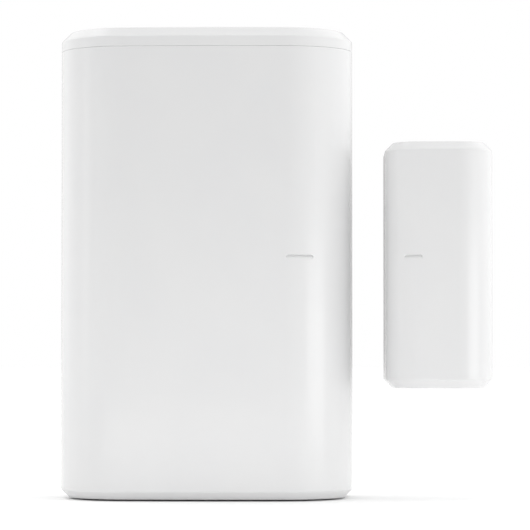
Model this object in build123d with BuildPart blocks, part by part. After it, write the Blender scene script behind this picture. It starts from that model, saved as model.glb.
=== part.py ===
from build123d import *
import os
from math import sqrt

# Door contact sensor: a main unit with a reed switch, and the magnet unit that sits beside it.
# Millimetres. +Z is up, +X runs from the main unit to the magnet unit, and +Y points into the
# wall. The origin is the centre of the main unit's adhesive face, so y = 0 is the wall.
# The pose is a closed door: the units stand side by side and the reed switch is closed.

# ---- Driving dimensions: main unit
unit_w = 44.0
unit_h = 70.0
unit_t = 20.0
unit_corner_r = 10.5
unit_crown_r = 250.0
wall = 1.8
cap_h = 2.84
cap_chamfer = 1.4
foot_chamfer = 1.2
seam = 0.08

# ---- Driving dimensions: magnet unit
gap_between = 4.85
magnet_unit_w = 16.05
magnet_unit_h = 36.6
magnet_unit_mid_z = -0.25
magnet_front_setback = 1.3
magnet_corner_r = 5.4
magnet_wall = 1.6
magnet_chamfer = 1.2

# ---- Driving dimensions: bought-in parts
cell_r = 5.25
cell_length = 44.5
cell_nub_r = 1.9
cell_nub_h = 1.0
tape_t = 1.0
tape_recess = 0.4
tape_slack = 0.2
tape_w = 32.0
tape_h = 46.0
tape_corner_r = 2.0
magnet_tape_w = 12.0
magnet_tape_h = 16.0
magnet_tape_corner_r = 1.5
screw_hole_r = 1.75
screw_rim_r = 3.3
screw_rim_h = 0.4
screw_spacing = 56.0
screw_mid_z = -1.5
magnet_screw_hole_r = 1.6
magnet_screw_spacing = 24.0

# ---- Alignment marks: one on each unit, at the same height
mark_z = 0.8
mark_h = 0.8
mark_depth = 0.35
mark_reach = 7.0
unit_mark_span = (12.15, 16.2)
magnet_mark_span = (2.7, 5.5)

# ---- Worked-out places, main unit
half_w = unit_w / 2
bottom_z = -unit_h / 2
top_z = unit_h / 2
front_y = -unit_t
plate_back_y = -(tape_t - tape_recess)
plate_t = 2.0
plate_front_y = plate_back_y - plate_t
cap_bottom_z = top_z - cap_h
cover_back_y = plate_front_y - seam
cover_top_z = cap_bottom_z - seam
floor_z = bottom_z + wall
inner_half_w = half_w - wall
shelf_t = 1.8
shelf_slack = 0.2
shelf_bottom_z = cap_bottom_z - shelf_t

# Top cap: a pocket underneath, and pegs that go into the shelf
cap_roof_z = top_z - 1.4
cap_pocket_inset = 3.4
cap_pocket_back_y = plate_back_y - 3.0
cap_peg_r = 1.2
cap_peg_hole_r = 1.25
cap_peg_spots = [(-14.0, -7.5), (14.0, -7.5), (0.0, -14.5)]

# Side rails: a web on the plate with a flange, which the cover's lips run behind.
web_in = 16.9
web_out = 17.9
flange_out = inner_half_w - 0.3
flange_back_y = plate_front_y - 1.4
flange_front_y = flange_back_y - 0.9
rail_bottom_z = floor_z + 0.3
lip_in = web_out + 0.3
lip_root = 0.5
lip_span_y = (flange_back_y + 0.2, cover_back_y)
lip_top_z = shelf_bottom_z - 0.3

# Springy finger on the right rail, which rubs on the cover's side wall
finger_t = 0.8
finger_z = (-24.0, -6.0)
finger_root_h = 3.0
finger_bump_h = 1.4
finger_front_y = flange_front_y - 3.0
finger_back_y = flange_front_y - 0.3
finger_gap = 0.05

# Circuit board, on 1 mm bosses, between the rails
board_back_y = plate_front_y - 1.0
board_front_y = board_back_y - 1.0
board_half_w = web_in - 0.3
board_left_z = (-26.0, 23.0)
board_strip_x = 4.2
board_strip_z = (-31.0, 29.0)
board_corner_r = 0.8
board_hole_r = 1.1
board_pin_hole_r = 1.8
board_screw_spots = [(14.9, 25.5), (14.9, -14.0)]
standoff_spots = [(-13.0, 15.0), (-13.0, -18.0)]
boss_r = 1.9
pilot_r = 0.85
pilot_depth = 1.8
screw_r = 0.83
screw_depth = 1.7
screw_head_r = 1.8
screw_head_h = 1.2
screw_head_edge_r = 0.4
screw_cross_half = 1.1
screw_cross_t = 0.2
screw_cross_depth = 0.6

# Battery tray
cell_mid_y = -11.2
cell_left_x = -13.6
cell_right_x = -2.0
tray_x = (-19.7, 4.3)
tray_z = (-26.2, 23.2)
tray_wall = 1.2
tray_floor_y = (-5.8, -5.1)
tray_end_front_y = -15.6
tray_left_wall_y = -9.2
tray_right_wall_y = -13.0
tray_rib_y = -9.5
tray_rib_half = 0.3
tray_rib_slack = 0.2
tray_cell_slack = 0.1
tray_cover_gap = 0.4
tray_post_r = 1.25
tray_post_spots = [(x, z) for x in (-14.0, 1.0) for z in (-20.0, 16.0)]
contact_t = 0.4
contact_half = 3.8
contact_half_w = 3.5
contact_corner_r = 0.8
tail_half_w = 1.0
tail_slack = 0.1
tray_in_z = (tray_z[0] + tray_wall, tray_z[1] - tray_wall)
cells_z = (tray_in_z[0] + contact_t, tray_in_z[1] - contact_t)
spring_h = cells_z[1] - cells_z[0] - cell_length
spring_wire_r = 0.25
spring_big_r = 3.0
spring_small_r = 1.6
spring_turns = 2
spring_points = 24

# Cell: a can in a sleeve that stops short of both ends
can_h = cell_length - cell_nub_h
can_edge_r = 0.5
nub_edge_r = 0.3
nub_root = 0.5
jacket_t = 0.15
jacket_slack = 0.02
jacket_inset = 0.6

# Radio module: half holes down both edges, a shield can and a flat zigzag antenna
radio_x = (4.9, 13.1)
radio_z = (10.5, 28.5)
radio_t = 0.8
half_hole_r = 0.4
half_hole_zs = [12.0 + 1.6 * k for k in range(6)]
shield_x = (5.7, 12.3)
shield_z = (11.5, 20.5)
shield_h = 1.8
shield_t = 0.25
shield_edge_r = 0.4
antenna_w = 0.6
antenna_t = 0.2
antenna_bars = [5.8 + 1.5 * k for k in range(5)]
antenna_z = (21.6, 27.8)

# Other parts on the board's strip
chip_x = (5.6, 10.6)
chip_z = (1.6, 6.6)
chip_h = 0.9
chip_chamfer = 0.12
crystal_x = (11.5, 13.1)
crystal_z = (2.5, 5.7)
crystal_h = 0.7
crystal_corner_r = 0.4
capacitor_x = 8.6
capacitor_z = -17.0
capacitor_r = 2.5
capacitor_h = 5.4
capacitor_edge_r = 0.35
passive_long = 1.0
passive_short = 0.55
passive_h = 0.5
upright_spots = [(6.2 + 2.0 * k, 8.4) for k in range(4)]
level_spots = [(6.35 + 1.9 * k, -1.6) for k in range(4)]
level_spots += [(x, z) for x in (6.2, 8.4, 10.6) for z in (-10.4, -11.8, -20.6)]
led_x = (14.0, 16.0)
led_z = (17.4, 18.6)
led_body_h = 0.4
led_lens_x = (14.4, 15.6)
led_lens_z = (17.45, 18.55)
led_lens_h = 0.8

# Reed switch, upright beside the side wall that faces the magnet
reed_x = 15.0
reed_y = -8.0
reed_r = 1.15
reed_bore_r = 0.82
reed_half = 6.0
seal_t = 1.4
lead_r = 0.25
lead_reach = 3.4
blade_w = 1.0
blade_t = 0.2
blade_overlap = 1.2
contact_gap = 0.02
lead_bend_r = 0.9
glass_end_r = 0.7
lead_slack = 0.01
blade_end_gap = 0.05

# Tamper switch: the plunger goes through the board and the plate to the wall
tamper_x = 10.0
tamper_z = -26.0
plunger_r = 1.5
plunger_tip_y = 1.0
plunger_flange_r = 2.2
plunger_bore_r = 1.58
tamper_inner_r = 2.5
tamper_half = 3.3
tamper_end_y = -9.6
tamper_cap_t = 1.0
tamper_chamfer = 0.4
tamper_wire_r = 0.15
tamper_coil_r = 1.9
tamper_turns = 5
plunger_flange_y = (board_front_y - 0.1, board_front_y - 1.1)
plunger_tip_edge_r = 0.5

# Reset button
reset_x = 7.3
reset_z = -6.5
reset_half = 2.25
reset_body_y = board_front_y - 2.4
button_r = 1.1
button_edge_r = 0.25
reset_chamfer = 0.3
reset_bore_start = 1.2
button_slack = 0.08
button_back_y = board_front_y - 1.5
button_front_y = reset_body_y - 0.9

# ---- Worked-out places, magnet unit
magnet_x0 = half_w + gap_between
magnet_mid_x = magnet_x0 + magnet_unit_w / 2
magnet_half_w = magnet_unit_w / 2
magnet_z0 = magnet_unit_mid_z - magnet_unit_h / 2
magnet_z1 = magnet_unit_mid_z + magnet_unit_h / 2
magnet_front_y = front_y + magnet_front_setback
bar_half_x = 2.5
bar_half_z = 14.0
bar_chamfer = 0.3
bar_x = magnet_x0 + magnet_wall + 0.6 + bar_half_x
bar_y = (-10.6, -5.6)
magnet_screw_x = bar_x + bar_half_x + 4.3
magnet_screw_zs = [magnet_unit_mid_z + end * magnet_screw_spacing / 2 for end in (-1, 1)]

# Low wall inside the magnet unit, which its cover snaps over
snap_inset = magnet_wall + 0.15
snap_t = 1.0
snap_h = 2.2

# Cradle: a foot, a floor under the bar magnet and walls along its sides
cradle_foot_x = (bar_x - 1.8, bar_x + 2.0)
cradle_foot_half_z = 12.0
cradle_x = (bar_x - 3.0, bar_x + 3.2)
cradle_floor_t = 0.8
cradle_wall_y = (bar_y[0] + 1.0, bar_y[1])
cradle_clip_h = 4.0
bar_slack = 0.1

os.makedirs("parts", exist_ok=True)


def housing_plan(mid_x, half_width, back, front, corner_r):
    """Plan outline: flat back, straight sides, round front corners, a slightly crowned front."""
    edge_y = front + unit_crown_r - sqrt(unit_crown_r**2 - half_width**2)
    left = mid_x - half_width
    right = mid_x + half_width
    with BuildSketch() as plan:
        with BuildLine():
            Polyline((left, edge_y), (left, back), (right, back), (right, edge_y))
            ThreePointArc((left, edge_y), (mid_x, front), (right, edge_y))
        make_face()
        fillet(plan.vertices().group_by(Axis.Y)[0], corner_r)
    return plan.sketch


def unit_plan(inset, back):
    """The main unit's plan outline, moved in by inset at its front and sides."""
    return housing_plan(0, half_w - inset, back, front_y + inset, unit_corner_r - inset)


def magnet_plan(inset, back):
    """The magnet unit's plan outline, moved in by inset at its front and sides."""
    half = magnet_half_w - inset
    front = magnet_front_y + inset
    return housing_plan(magnet_mid_x, half, back, front, magnet_corner_r - inset)


def span_box(x_span, y_span, z_span, mode=Mode.ADD):
    """A block between a low and a high place along each axis."""
    spans = [sorted(x_span), sorted(y_span), sorted(z_span)]
    size = [high - low for low, high in spans]
    middle = [(high + low) / 2 for low, high in spans]
    with Locations(tuple(middle)):
        Box(*size, mode=mode)


def around(place, half):
    """The span that reaches half to each side of a place."""
    return (place - half, place + half)


def rod_y(x, z, radius, y_span, mode=Mode.ADD):
    """A round rod, or a round hole, along Y."""
    near, far = max(y_span), min(y_span)
    with BuildSketch(Plane((x, near, z), x_dir=(1, 0, 0), z_dir=(0, -1, 0))) as disc:
        Circle(radius)
    extrude(disc.sketch, amount=near - far, mode=mode)


def rod_z(x, y, radius, z_span, mode=Mode.ADD):
    """A round rod, or a round hole, along Z."""
    with BuildSketch(Plane.XY.offset(min(z_span))) as disc:
        with Locations((x, y)):
            Circle(radius)
    extrude(disc.sketch, amount=max(z_span) - min(z_span), mode=mode)


def save(builder, name):
    """Labels a finished piece and writes it."""
    builder.part.label = name
    export_step(builder.part, f"parts/{name}.step")


def mark_cutter(x_span, outer_plan, inner_plan, front):
    """A slot with round ends, as deep as the distance between two plan outlines."""
    mid_x = (x_span[0] + x_span[1]) / 2
    with BuildPart() as cutter:
        with BuildSketch(Plane.XY.offset(mark_z - mark_h)):
            add(outer_plan)
            add(inner_plan, mode=Mode.SUBTRACT)
        extrude(amount=2 * mark_h)
        with BuildSketch(Plane((mid_x, front - 1, mark_z), x_dir=(1, 0, 0), z_dir=(0, -1, 0))):
            SlotOverall(x_span[1] - x_span[0], mark_h)
        extrude(amount=-mark_reach, mode=Mode.INTERSECT)
    return cutter.part


# ================================================================ main unit: casing

# Foam adhesive pad, half sunk into the back plate
with BuildPart() as mounting_tape:
    with BuildSketch(Plane.XZ):
        RectangleRounded(tape_w, tape_h, tape_corner_r)
    extrude(amount=tape_t)
save(mounting_tape, "mounting_tape")

# Back plate, with the rails, the shelf that closes the top and the board's bosses
with BuildPart() as rear_base:
    span_box((-half_w, half_w), (plate_front_y, plate_back_y), (bottom_z, cap_bottom_z))
    plate_foot = rear_base.edges().filter_by(Axis.Y).group_by(Axis.Z)[0]
    chamfer(plate_foot, foot_chamfer)
    with BuildSketch(Plane.XY.offset(shelf_bottom_z)):
        add(unit_plan(wall + shelf_slack, plate_front_y))
    extrude(amount=shelf_t)
    for x, y in cap_peg_spots:
        rod_z(x, y, cap_peg_hole_r, (shelf_bottom_z, cap_bottom_z), mode=Mode.SUBTRACT)

    # Tape recess in the back
    with BuildSketch(Plane.XZ.offset(-plate_back_y)):
        RectangleRounded(tape_w + 2 * tape_slack, tape_h + 2 * tape_slack, tape_corner_r + tape_slack)
    extrude(amount=tape_recess, mode=Mode.SUBTRACT)

    # Rails
    for side in (-1, 1):
        rail_z = (rail_bottom_z, shelf_bottom_z)
        span_box((side * web_in, side * web_out), (plate_front_y, flange_front_y), rail_z)
        span_box((side * web_in, side * flange_out), (flange_back_y, flange_front_y), rail_z)

    # Bosses for the board's screws, with pilot holes, and plain standoffs on the other side
    for x, z in board_screw_spots + standoff_spots:
        rod_y(x, z, boss_r, (plate_front_y, board_back_y))
    for x, z in board_screw_spots:
        rod_y(x, z, pilot_r, (board_back_y, board_back_y + pilot_depth), mode=Mode.SUBTRACT)

    # Screw holes through to the wall, with a raised rim, and the tamper plunger's bore
    rim_front_y = plate_front_y - screw_rim_h
    for end in (-1, 1):
        z = screw_mid_z + end * screw_spacing / 2
        rod_y(0, z, screw_rim_r, (plate_front_y, rim_front_y))
        rod_y(0, z, screw_hole_r, (plate_back_y, rim_front_y), mode=Mode.SUBTRACT)
    rod_y(tamper_x, tamper_z, plunger_bore_r, (plate_back_y, plate_front_y), mode=Mode.SUBTRACT)

    # Springy finger: its root on the flange, its arm, and the bump at its free end
    finger_x = (flange_out - finger_t, flange_out)
    bump_x = (flange_out, inner_half_w - finger_gap)
    root_z = (finger_z[1] - finger_root_h, finger_z[1])
    bump_z = (finger_z[0], finger_z[0] + finger_bump_h)
    span_box(finger_x, (flange_front_y, finger_front_y), root_z)
    span_box(finger_x, (finger_back_y, finger_front_y), finger_z)
    span_box(bump_x, (finger_back_y, finger_front_y), bump_z)
save(rear_base, "rear_base")

# Top cap: its bevel runs round the front and the sides
with BuildPart() as top_cap:
    with BuildSketch(Plane.XY.offset(cap_bottom_z)):
        add(unit_plan(0, plate_back_y))
    extrude(amount=cap_h)
    cap_rim = top_cap.faces().sort_by(Axis.Z)[-1].edges()
    chamfer(cap_rim.sort_by(Axis.Y)[:-1], cap_chamfer)
    with BuildSketch(Plane.XY.offset(cap_bottom_z)):
        add(unit_plan(cap_pocket_inset, cap_pocket_back_y))
    extrude(amount=cap_roof_z - cap_bottom_z, mode=Mode.SUBTRACT)
    for x, y in cap_peg_spots:
        rod_z(x, y, cap_peg_r, (shelf_bottom_z, cap_roof_z))
save(top_cap, "top_cap")

# Front cover: front, sides and foot in one, open at the back and the top
unit_mark = mark_cutter(
    unit_mark_span, unit_plan(-1, cover_back_y), unit_plan(mark_depth, cover_back_y), front_y
)

with BuildPart() as front_cover:
    with BuildSketch(Plane.XY.offset(bottom_z)):
        add(unit_plan(0, cover_back_y))
    extrude(amount=cover_top_z - bottom_z)
    foot_rim = front_cover.faces().sort_by(Axis.Z)[0].edges()
    chamfer(foot_rim.sort_by(Axis.Y)[:-1], foot_chamfer)
    with BuildSketch(Plane.XY.offset(floor_z)):
        add(unit_plan(wall, 0))
    extrude(amount=unit_h, mode=Mode.SUBTRACT)
    for side in (-1, 1):
        lip_x = (side * lip_in, side * (inner_half_w + lip_root))
        span_box(lip_x, lip_span_y, (floor_z, lip_top_z))
    add(unit_mark, mode=Mode.SUBTRACT)
save(front_cover, "front_cover")

# ================================================================ main unit: board and tray

board_y = (board_front_y, board_back_y)

with BuildPart() as circuit_board:
    span_box((-board_half_w, board_half_w), board_y, board_left_z)
    span_box((board_strip_x, board_half_w), board_y, board_strip_z)
    fillet(circuit_board.edges().filter_by(Axis.Y), board_corner_r)
    for x, z in board_screw_spots:
        rod_y(x, z, board_hole_r, board_y, mode=Mode.SUBTRACT)
    rod_y(tamper_x, tamper_z, board_pin_hole_r, board_y, mode=Mode.SUBTRACT)
save(circuit_board, "circuit_board")

# The two board screws, with a cross recess in each head
head_front_y = board_front_y - screw_head_h
cross_y = (head_front_y, head_front_y + screw_cross_depth)

with BuildPart() as board_screws:
    for x, z in board_screw_spots:
        rod_y(x, z, screw_r, (board_front_y, board_back_y + screw_depth))
        rod_y(x, z, screw_head_r, (head_front_y, board_front_y))
    head_rims = board_screws.faces().sort_by(Axis.Y)[:2].edges()
    fillet(head_rims, screw_head_edge_r)
    for x, z in board_screw_spots:
        long_x, short_x = around(x, screw_cross_half), around(x, screw_cross_t)
        long_z, short_z = around(z, screw_cross_half), around(z, screw_cross_t)
        span_box(short_x, cross_y, long_z, Mode.SUBTRACT)
        span_box(long_x, cross_y, short_z, Mode.SUBTRACT)
save(board_screws, "board_screws")

# Open tray for the two cells: floor, low side walls, a rib between, and two end walls
with BuildPart() as battery_holder:
    end_y = (tray_floor_y[1], tray_end_front_y)
    rib_x = (cell_left_x + cell_right_x) / 2
    rib_z = (cells_z[0] + tray_rib_slack, tray_z[1])
    left_wall_x = (tray_x[0], cell_left_x - cell_r - tray_cell_slack)
    right_wall_x = (cell_right_x + cell_r + tray_cell_slack, tray_x[1])
    span_box(tray_x, tray_floor_y, tray_z)
    span_box(left_wall_x, (tray_floor_y[1], tray_left_wall_y), tray_z)
    span_box(right_wall_x, (tray_floor_y[1], tray_right_wall_y), tray_z)
    span_box(around(rib_x, tray_rib_half), (tray_floor_y[1], tray_rib_y), rib_z)
    span_box(tray_x, end_y, (tray_z[0], tray_in_z[0]))
    span_box(tray_x, end_y, (tray_in_z[1], tray_z[1]))
    with BuildSketch(Plane.XY.offset(tray_z[0])):
        add(unit_plan(wall + tray_cover_gap, 0))
    extrude(amount=tray_z[1] - tray_z[0], mode=Mode.INTERSECT)
    for x, z in tray_post_spots:
        rod_y(x, z, tray_post_r, (board_front_y, tray_floor_y[1]))
    for x in (cell_left_x, cell_right_x):
        slot_z = (tray_in_z[1] - contact_t - tail_slack, tray_in_z[1])
        span_box(around(x, tail_half_w + tail_slack), tray_floor_y, slot_z, Mode.SUBTRACT)
save(battery_holder, "battery_holder")

# Sheet contacts at the top, each with a tail down to the board
top_contacts = {"positive_contact": cell_left_x, "negative_contact": cell_right_x}
sheet_y = around(cell_mid_y, contact_half)
top_sheet_z = (cells_z[1], tray_in_z[1])

for contact_name, x in top_contacts.items():
    with BuildPart() as top_contact:
        span_box(around(x, contact_half_w), sheet_y, top_sheet_z)
        fillet(top_contact.edges().filter_by(Axis.Z), contact_corner_r)
        span_box(around(x, tail_half_w), (sheet_y[1] - 1, board_front_y), top_sheet_z)
    save(top_contact, contact_name)

# One strip at the bottom joins the two cells
link_x = (cell_left_x - contact_half_w, cell_right_x + contact_half_w)

with BuildPart() as link_contact:
    span_box(link_x, sheet_y, (tray_in_z[0], cells_z[0]))
    fillet(link_contact.edges().filter_by(Axis.Z), contact_corner_r)
save(link_contact, "link_contact")

# Conical springs press on each cell's flat end. Each turn lies inside the one below it.
coil_rise = spring_h - 2 * spring_wire_r
coil_shrink = spring_small_r - spring_big_r
springs = {
    "link_spring": (cell_left_x, cells_z[0] + spring_wire_r, 1),
    "negative_spring": (cell_right_x, cells_z[1] - spring_wire_r, -1),
}

for spring_name, (x, z, way) in springs.items():
    base = Plane((x, cell_mid_y, z), x_dir=(1, 0, 0), z_dir=(0, 0, way))
    coil_points = []
    for k in range(spring_points + 1):
        share = k / spring_points
        start = Vector(spring_big_r + coil_shrink * share, 0, coil_rise * share)
        turned = start.rotate(Axis.Z, 360.0 * spring_turns * share)
        coil_points.append(base.from_local_coords(turned))
    with BuildPart() as spring:
        with BuildLine(base) as coil:
            Spline(*coil_points)
        with BuildSketch(Plane(coil.line @ 0, z_dir=coil.line % 0)):
            Circle(spring_wire_r)
        sweep(is_frenet=True)
    save(spring, spring_name)

# The cells stand head to foot: the left one's nub is up, the right one's is down
left_foot = (cell_left_x, cell_mid_y, cells_z[1] - cell_length)
right_foot = (cell_right_x, cell_mid_y, cells_z[0] + cell_length)
cells = {
    "left": Plane(left_foot),
    "right": Plane(right_foot, x_dir=(1, 0, 0), z_dir=(0, 0, -1)),
}
jacket_r = cell_r - jacket_t

for cell_name, base in cells.items():
    with BuildPart() as cell_can:
        with BuildSketch(base):
            Circle(jacket_r)
        extrude(amount=can_h)
        fillet(cell_can.edges().filter_by(GeomType.CIRCLE), can_edge_r)
        with BuildSketch(base.offset(can_h - nub_root)):
            Circle(cell_nub_r)
        extrude(amount=cell_nub_h + nub_root)
        nub_end = cell_can.faces().sort_by(Axis((0, 0, 0), base.z_dir))[-1]
        fillet(nub_end.edges(), nub_edge_r)
    save(cell_can, f"cell_{cell_name}_can")
    with BuildPart() as cell_jacket:
        with BuildSketch(base.offset(jacket_inset)):
            Circle(cell_r)
            Circle(jacket_r + jacket_slack, mode=Mode.SUBTRACT)
        extrude(amount=can_h - 2 * jacket_inset)
    save(cell_jacket, f"cell_{cell_name}_jacket")

# ================================================================ main unit: electronics

radio_front_y = board_front_y - radio_t
radio_y = (radio_front_y, board_front_y)

with BuildPart() as radio_board:
    span_box(radio_x, radio_y, radio_z)
    for x in radio_x:
        for z in half_hole_zs:
            rod_y(x, z, half_hole_r, radio_y, mode=Mode.SUBTRACT)
save(radio_board, "radio_board")

with BuildPart() as shield_can:
    span_box(shield_x, (radio_front_y - shield_h, radio_front_y), shield_z)
    fillet(shield_can.faces().sort_by(Axis.Y)[0].edges(), shield_edge_r)
    span_box(
        (shield_x[0] + shield_t, shield_x[1] - shield_t),
        (radio_front_y - shield_h + shield_t, radio_front_y),
        (shield_z[0] + shield_t, shield_z[1] - shield_t),
        Mode.SUBTRACT,
    )
save(shield_can, "shield_can")

# Stamped antenna: a flat zigzag that starts beside the shield can
with BuildPart() as antenna:
    antenna_y = (radio_front_y - antenna_t, radio_front_y)
    for k, x in enumerate(antenna_bars):
        span_box(around(x, antenna_w / 2), antenna_y, antenna_z)
        if k > 0:
            end = antenna_z[1] if k % 2 else antenna_z[0]
            inward = end - antenna_w if k % 2 else end + antenna_w
            span_box((antenna_bars[k - 1], x), antenna_y, (end, inward))
save(antenna, "antenna")

with BuildPart() as controller_chip:
    span_box(chip_x, (board_front_y - chip_h, board_front_y), chip_z)
    chamfer(controller_chip.faces().sort_by(Axis.Y)[0].edges(), chip_chamfer)
save(controller_chip, "controller_chip")

with BuildPart() as crystal_can:
    span_box(crystal_x, (board_front_y - crystal_h, board_front_y), crystal_z)
    fillet(crystal_can.edges().filter_by(Axis.Y), crystal_corner_r)
save(crystal_can, "crystal_can")

with BuildPart() as reservoir_capacitor:
    rod_y(capacitor_x, capacitor_z, capacitor_r, (board_front_y - capacitor_h, board_front_y))
    fillet(reservoir_capacitor.edges().filter_by(GeomType.CIRCLE), capacitor_edge_r)
save(reservoir_capacitor, "reservoir_capacitor")

# Small chip resistors and capacitors: a row below and a row above the controller, and a block
with BuildPart() as passives:
    passive_y = (board_front_y - passive_h, board_front_y)
    for x, z in upright_spots:
        span_box(around(x, passive_short / 2), passive_y, around(z, passive_long / 2))
    for x, z in level_spots:
        span_box(around(x, passive_long / 2), passive_y, around(z, passive_short / 2))
save(passives, "passives")

with BuildPart() as status_led:
    lens_back_y = board_front_y - led_body_h
    span_box(led_x, (lens_back_y, board_front_y), led_z)
    span_box(led_lens_x, (board_front_y - led_lens_h, lens_back_y), led_lens_z)
save(status_led, "status_led")

# Reed switch: a glass tube closed round a lead at each end
reed_low_z = mark_z - reed_half
reed_high_z = mark_z + reed_half
cavity_low_z = reed_low_z + seal_t
cavity_high_z = reed_high_z - seal_t
blade_meet_z = around(mark_z, blade_overlap / 2)
blade_y = around(reed_y, blade_w / 2)

with BuildPart() as reed_glass:
    rod_z(reed_x, reed_y, reed_r, (reed_low_z, reed_high_z))
    fillet(reed_glass.edges().filter_by(GeomType.CIRCLE), glass_end_r)
    rod_z(reed_x, reed_y, reed_bore_r, (cavity_low_z, cavity_high_z), mode=Mode.SUBTRACT)
    rod_z(reed_x, reed_y, lead_r + lead_slack, (reed_low_z, reed_high_z), mode=Mode.SUBTRACT)
save(reed_glass, "reed_glass")

reed_leads = {
    "reed_fixed_lead": (cavity_low_z, reed_low_z - lead_reach, lead_bend_r),
    "reed_top_lead": (cavity_high_z, reed_high_z + lead_reach, -lead_bend_r),
}

for lead_name, (seal_z, turn_z, bend) in reed_leads.items():
    with BuildPart() as lead:
        rod_z(reed_x, reed_y, lead_r, (seal_z, turn_z + bend))
        with BuildSketch(Plane.XY.offset(turn_z + bend)):
            with Locations((reed_x, reed_y)):
                Circle(lead_r)
        bend_axis = Axis((reed_x, reed_y + lead_bend_r, turn_z + bend), (1, 0, 0))
        revolve(axis=bend_axis, revolution_arc=90 if bend > 0 else -90)
        rod_y(reed_x, turn_z, lead_r, (reed_y + lead_bend_r, board_front_y))
        if lead_name == "reed_fixed_lead":
            fixed_x = (reed_x + contact_gap / 2, reed_x + contact_gap / 2 + blade_t)
            span_box(fixed_x, blade_y, (seal_z, blade_meet_z[1]))
    save(lead, lead_name)

with BuildPart() as reed_moving_blade:
    moving_x = (reed_x - contact_gap / 2 - blade_t, reed_x - contact_gap / 2)
    span_box(moving_x, blade_y, (blade_meet_z[0], cavity_high_z - blade_end_gap))
save(reed_moving_blade, "reed_moving_blade")

# Tamper switch: sleeve on the board, plunger and spring inside it
tamper_x_span = around(tamper_x, tamper_half)
tamper_z_span = around(tamper_z, tamper_half)

with BuildPart() as tamper_switch_body:
    span_box(tamper_x_span, (board_front_y, tamper_end_y - tamper_cap_t), tamper_z_span)
    chamfer(tamper_switch_body.faces().sort_by(Axis.Y)[0].edges(), tamper_chamfer)
    rod_y(tamper_x, tamper_z, tamper_inner_r, (board_front_y, tamper_end_y), mode=Mode.SUBTRACT)
save(tamper_switch_body, "tamper_switch_body")

with BuildPart() as tamper_plunger:
    rod_y(tamper_x, tamper_z, plunger_r, (plunger_tip_y, plunger_flange_y[1]))
    fillet(tamper_plunger.faces().sort_by(Axis.Y)[-1].edges(), plunger_tip_edge_r)
    rod_y(tamper_x, tamper_z, plunger_flange_r, plunger_flange_y)
save(tamper_plunger, "tamper_plunger")

tamper_coil_span = plunger_flange_y[1] - tamper_end_y - 2 * tamper_wire_r

with BuildPart() as tamper_spring:
    with BuildLine() as tamper_coil:
        Helix(
            pitch=tamper_coil_span / tamper_turns,
            height=tamper_coil_span,
            radius=tamper_coil_r,
            center=(tamper_x, tamper_end_y + tamper_wire_r, tamper_z),
            direction=(0, 1, 0),
        )
    with BuildSketch(Plane(tamper_coil.line @ 0, z_dir=tamper_coil.line % 0)):
        Circle(tamper_wire_r)
    sweep(is_frenet=True)
save(tamper_spring, "tamper_spring")

# Reset button: a small square switch with a round plunger
reset_x_span = around(reset_x, reset_half)
reset_z_span = around(reset_z, reset_half)
reset_bore_y = (board_front_y - reset_bore_start, reset_body_y)

with BuildPart() as reset_switch_body:
    span_box(reset_x_span, (board_front_y, reset_body_y), reset_z_span)
    chamfer(reset_switch_body.edges().filter_by(Axis.Y), reset_chamfer)
    rod_y(reset_x, reset_z, button_r + button_slack, reset_bore_y, mode=Mode.SUBTRACT)
save(reset_switch_body, "reset_switch_body")

with BuildPart() as reset_button:
    rod_y(reset_x, reset_z, button_r, (button_back_y, button_front_y))
    fillet(reset_button.faces().sort_by(Axis.Y)[0].edges(), button_edge_r)
save(reset_button, "reset_button")

# ================================================================ magnet unit

with BuildPart() as magnet_tape:
    with BuildSketch(Plane.XZ):
        with Locations((magnet_mid_x, magnet_unit_mid_z)):
            RectangleRounded(magnet_tape_w, magnet_tape_h, magnet_tape_corner_r)
    extrude(amount=tape_t)
save(magnet_tape, "magnet_tape")

magnet_span_x = (magnet_x0, magnet_x0 + magnet_unit_w)
magnet_span_z = (magnet_z0, magnet_z1)
snap_front_y = plate_front_y - snap_h
snap_in_x = (magnet_span_x[0] + snap_inset + snap_t, magnet_span_x[1] - snap_inset - snap_t)
snap_in_z = (magnet_z0 + snap_inset + snap_t, magnet_z1 - snap_inset - snap_t)

with BuildPart() as magnet_base:
    span_box(magnet_span_x, (plate_front_y, plate_back_y), magnet_span_z)
    plate_corners = magnet_base.edges().filter_by(Axis.Y)
    chamfer(plate_corners, magnet_chamfer)
    with BuildSketch(Plane.XZ.offset(-plate_back_y)):
        with Locations((magnet_mid_x, magnet_unit_mid_z)):
            RectangleRounded(
                magnet_tape_w + 2 * tape_slack,
                magnet_tape_h + 2 * tape_slack,
                magnet_tape_corner_r + tape_slack,
            )
    extrude(amount=tape_recess, mode=Mode.SUBTRACT)
    with BuildSketch(Plane.XY.offset(magnet_z0 + snap_inset)):
        add(magnet_plan(snap_inset, plate_front_y))
    extrude(amount=magnet_unit_h - 2 * snap_inset)
    span_box(magnet_span_x, (front_y, snap_front_y), magnet_span_z, Mode.SUBTRACT)
    span_box(snap_in_x, (snap_front_y, plate_front_y), snap_in_z, Mode.SUBTRACT)
    for z in magnet_screw_zs:
        hole_y = (plate_back_y, plate_front_y)
        rod_y(magnet_screw_x, z, magnet_screw_hole_r, hole_y, mode=Mode.SUBTRACT)
save(magnet_base, "magnet_base")

magnet_mark = mark_cutter(
    (magnet_x0 + magnet_mark_span[0], magnet_x0 + magnet_mark_span[1]),
    magnet_plan(-1, plate_front_y),
    magnet_plan(mark_depth, plate_front_y),
    magnet_front_y,
)

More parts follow.
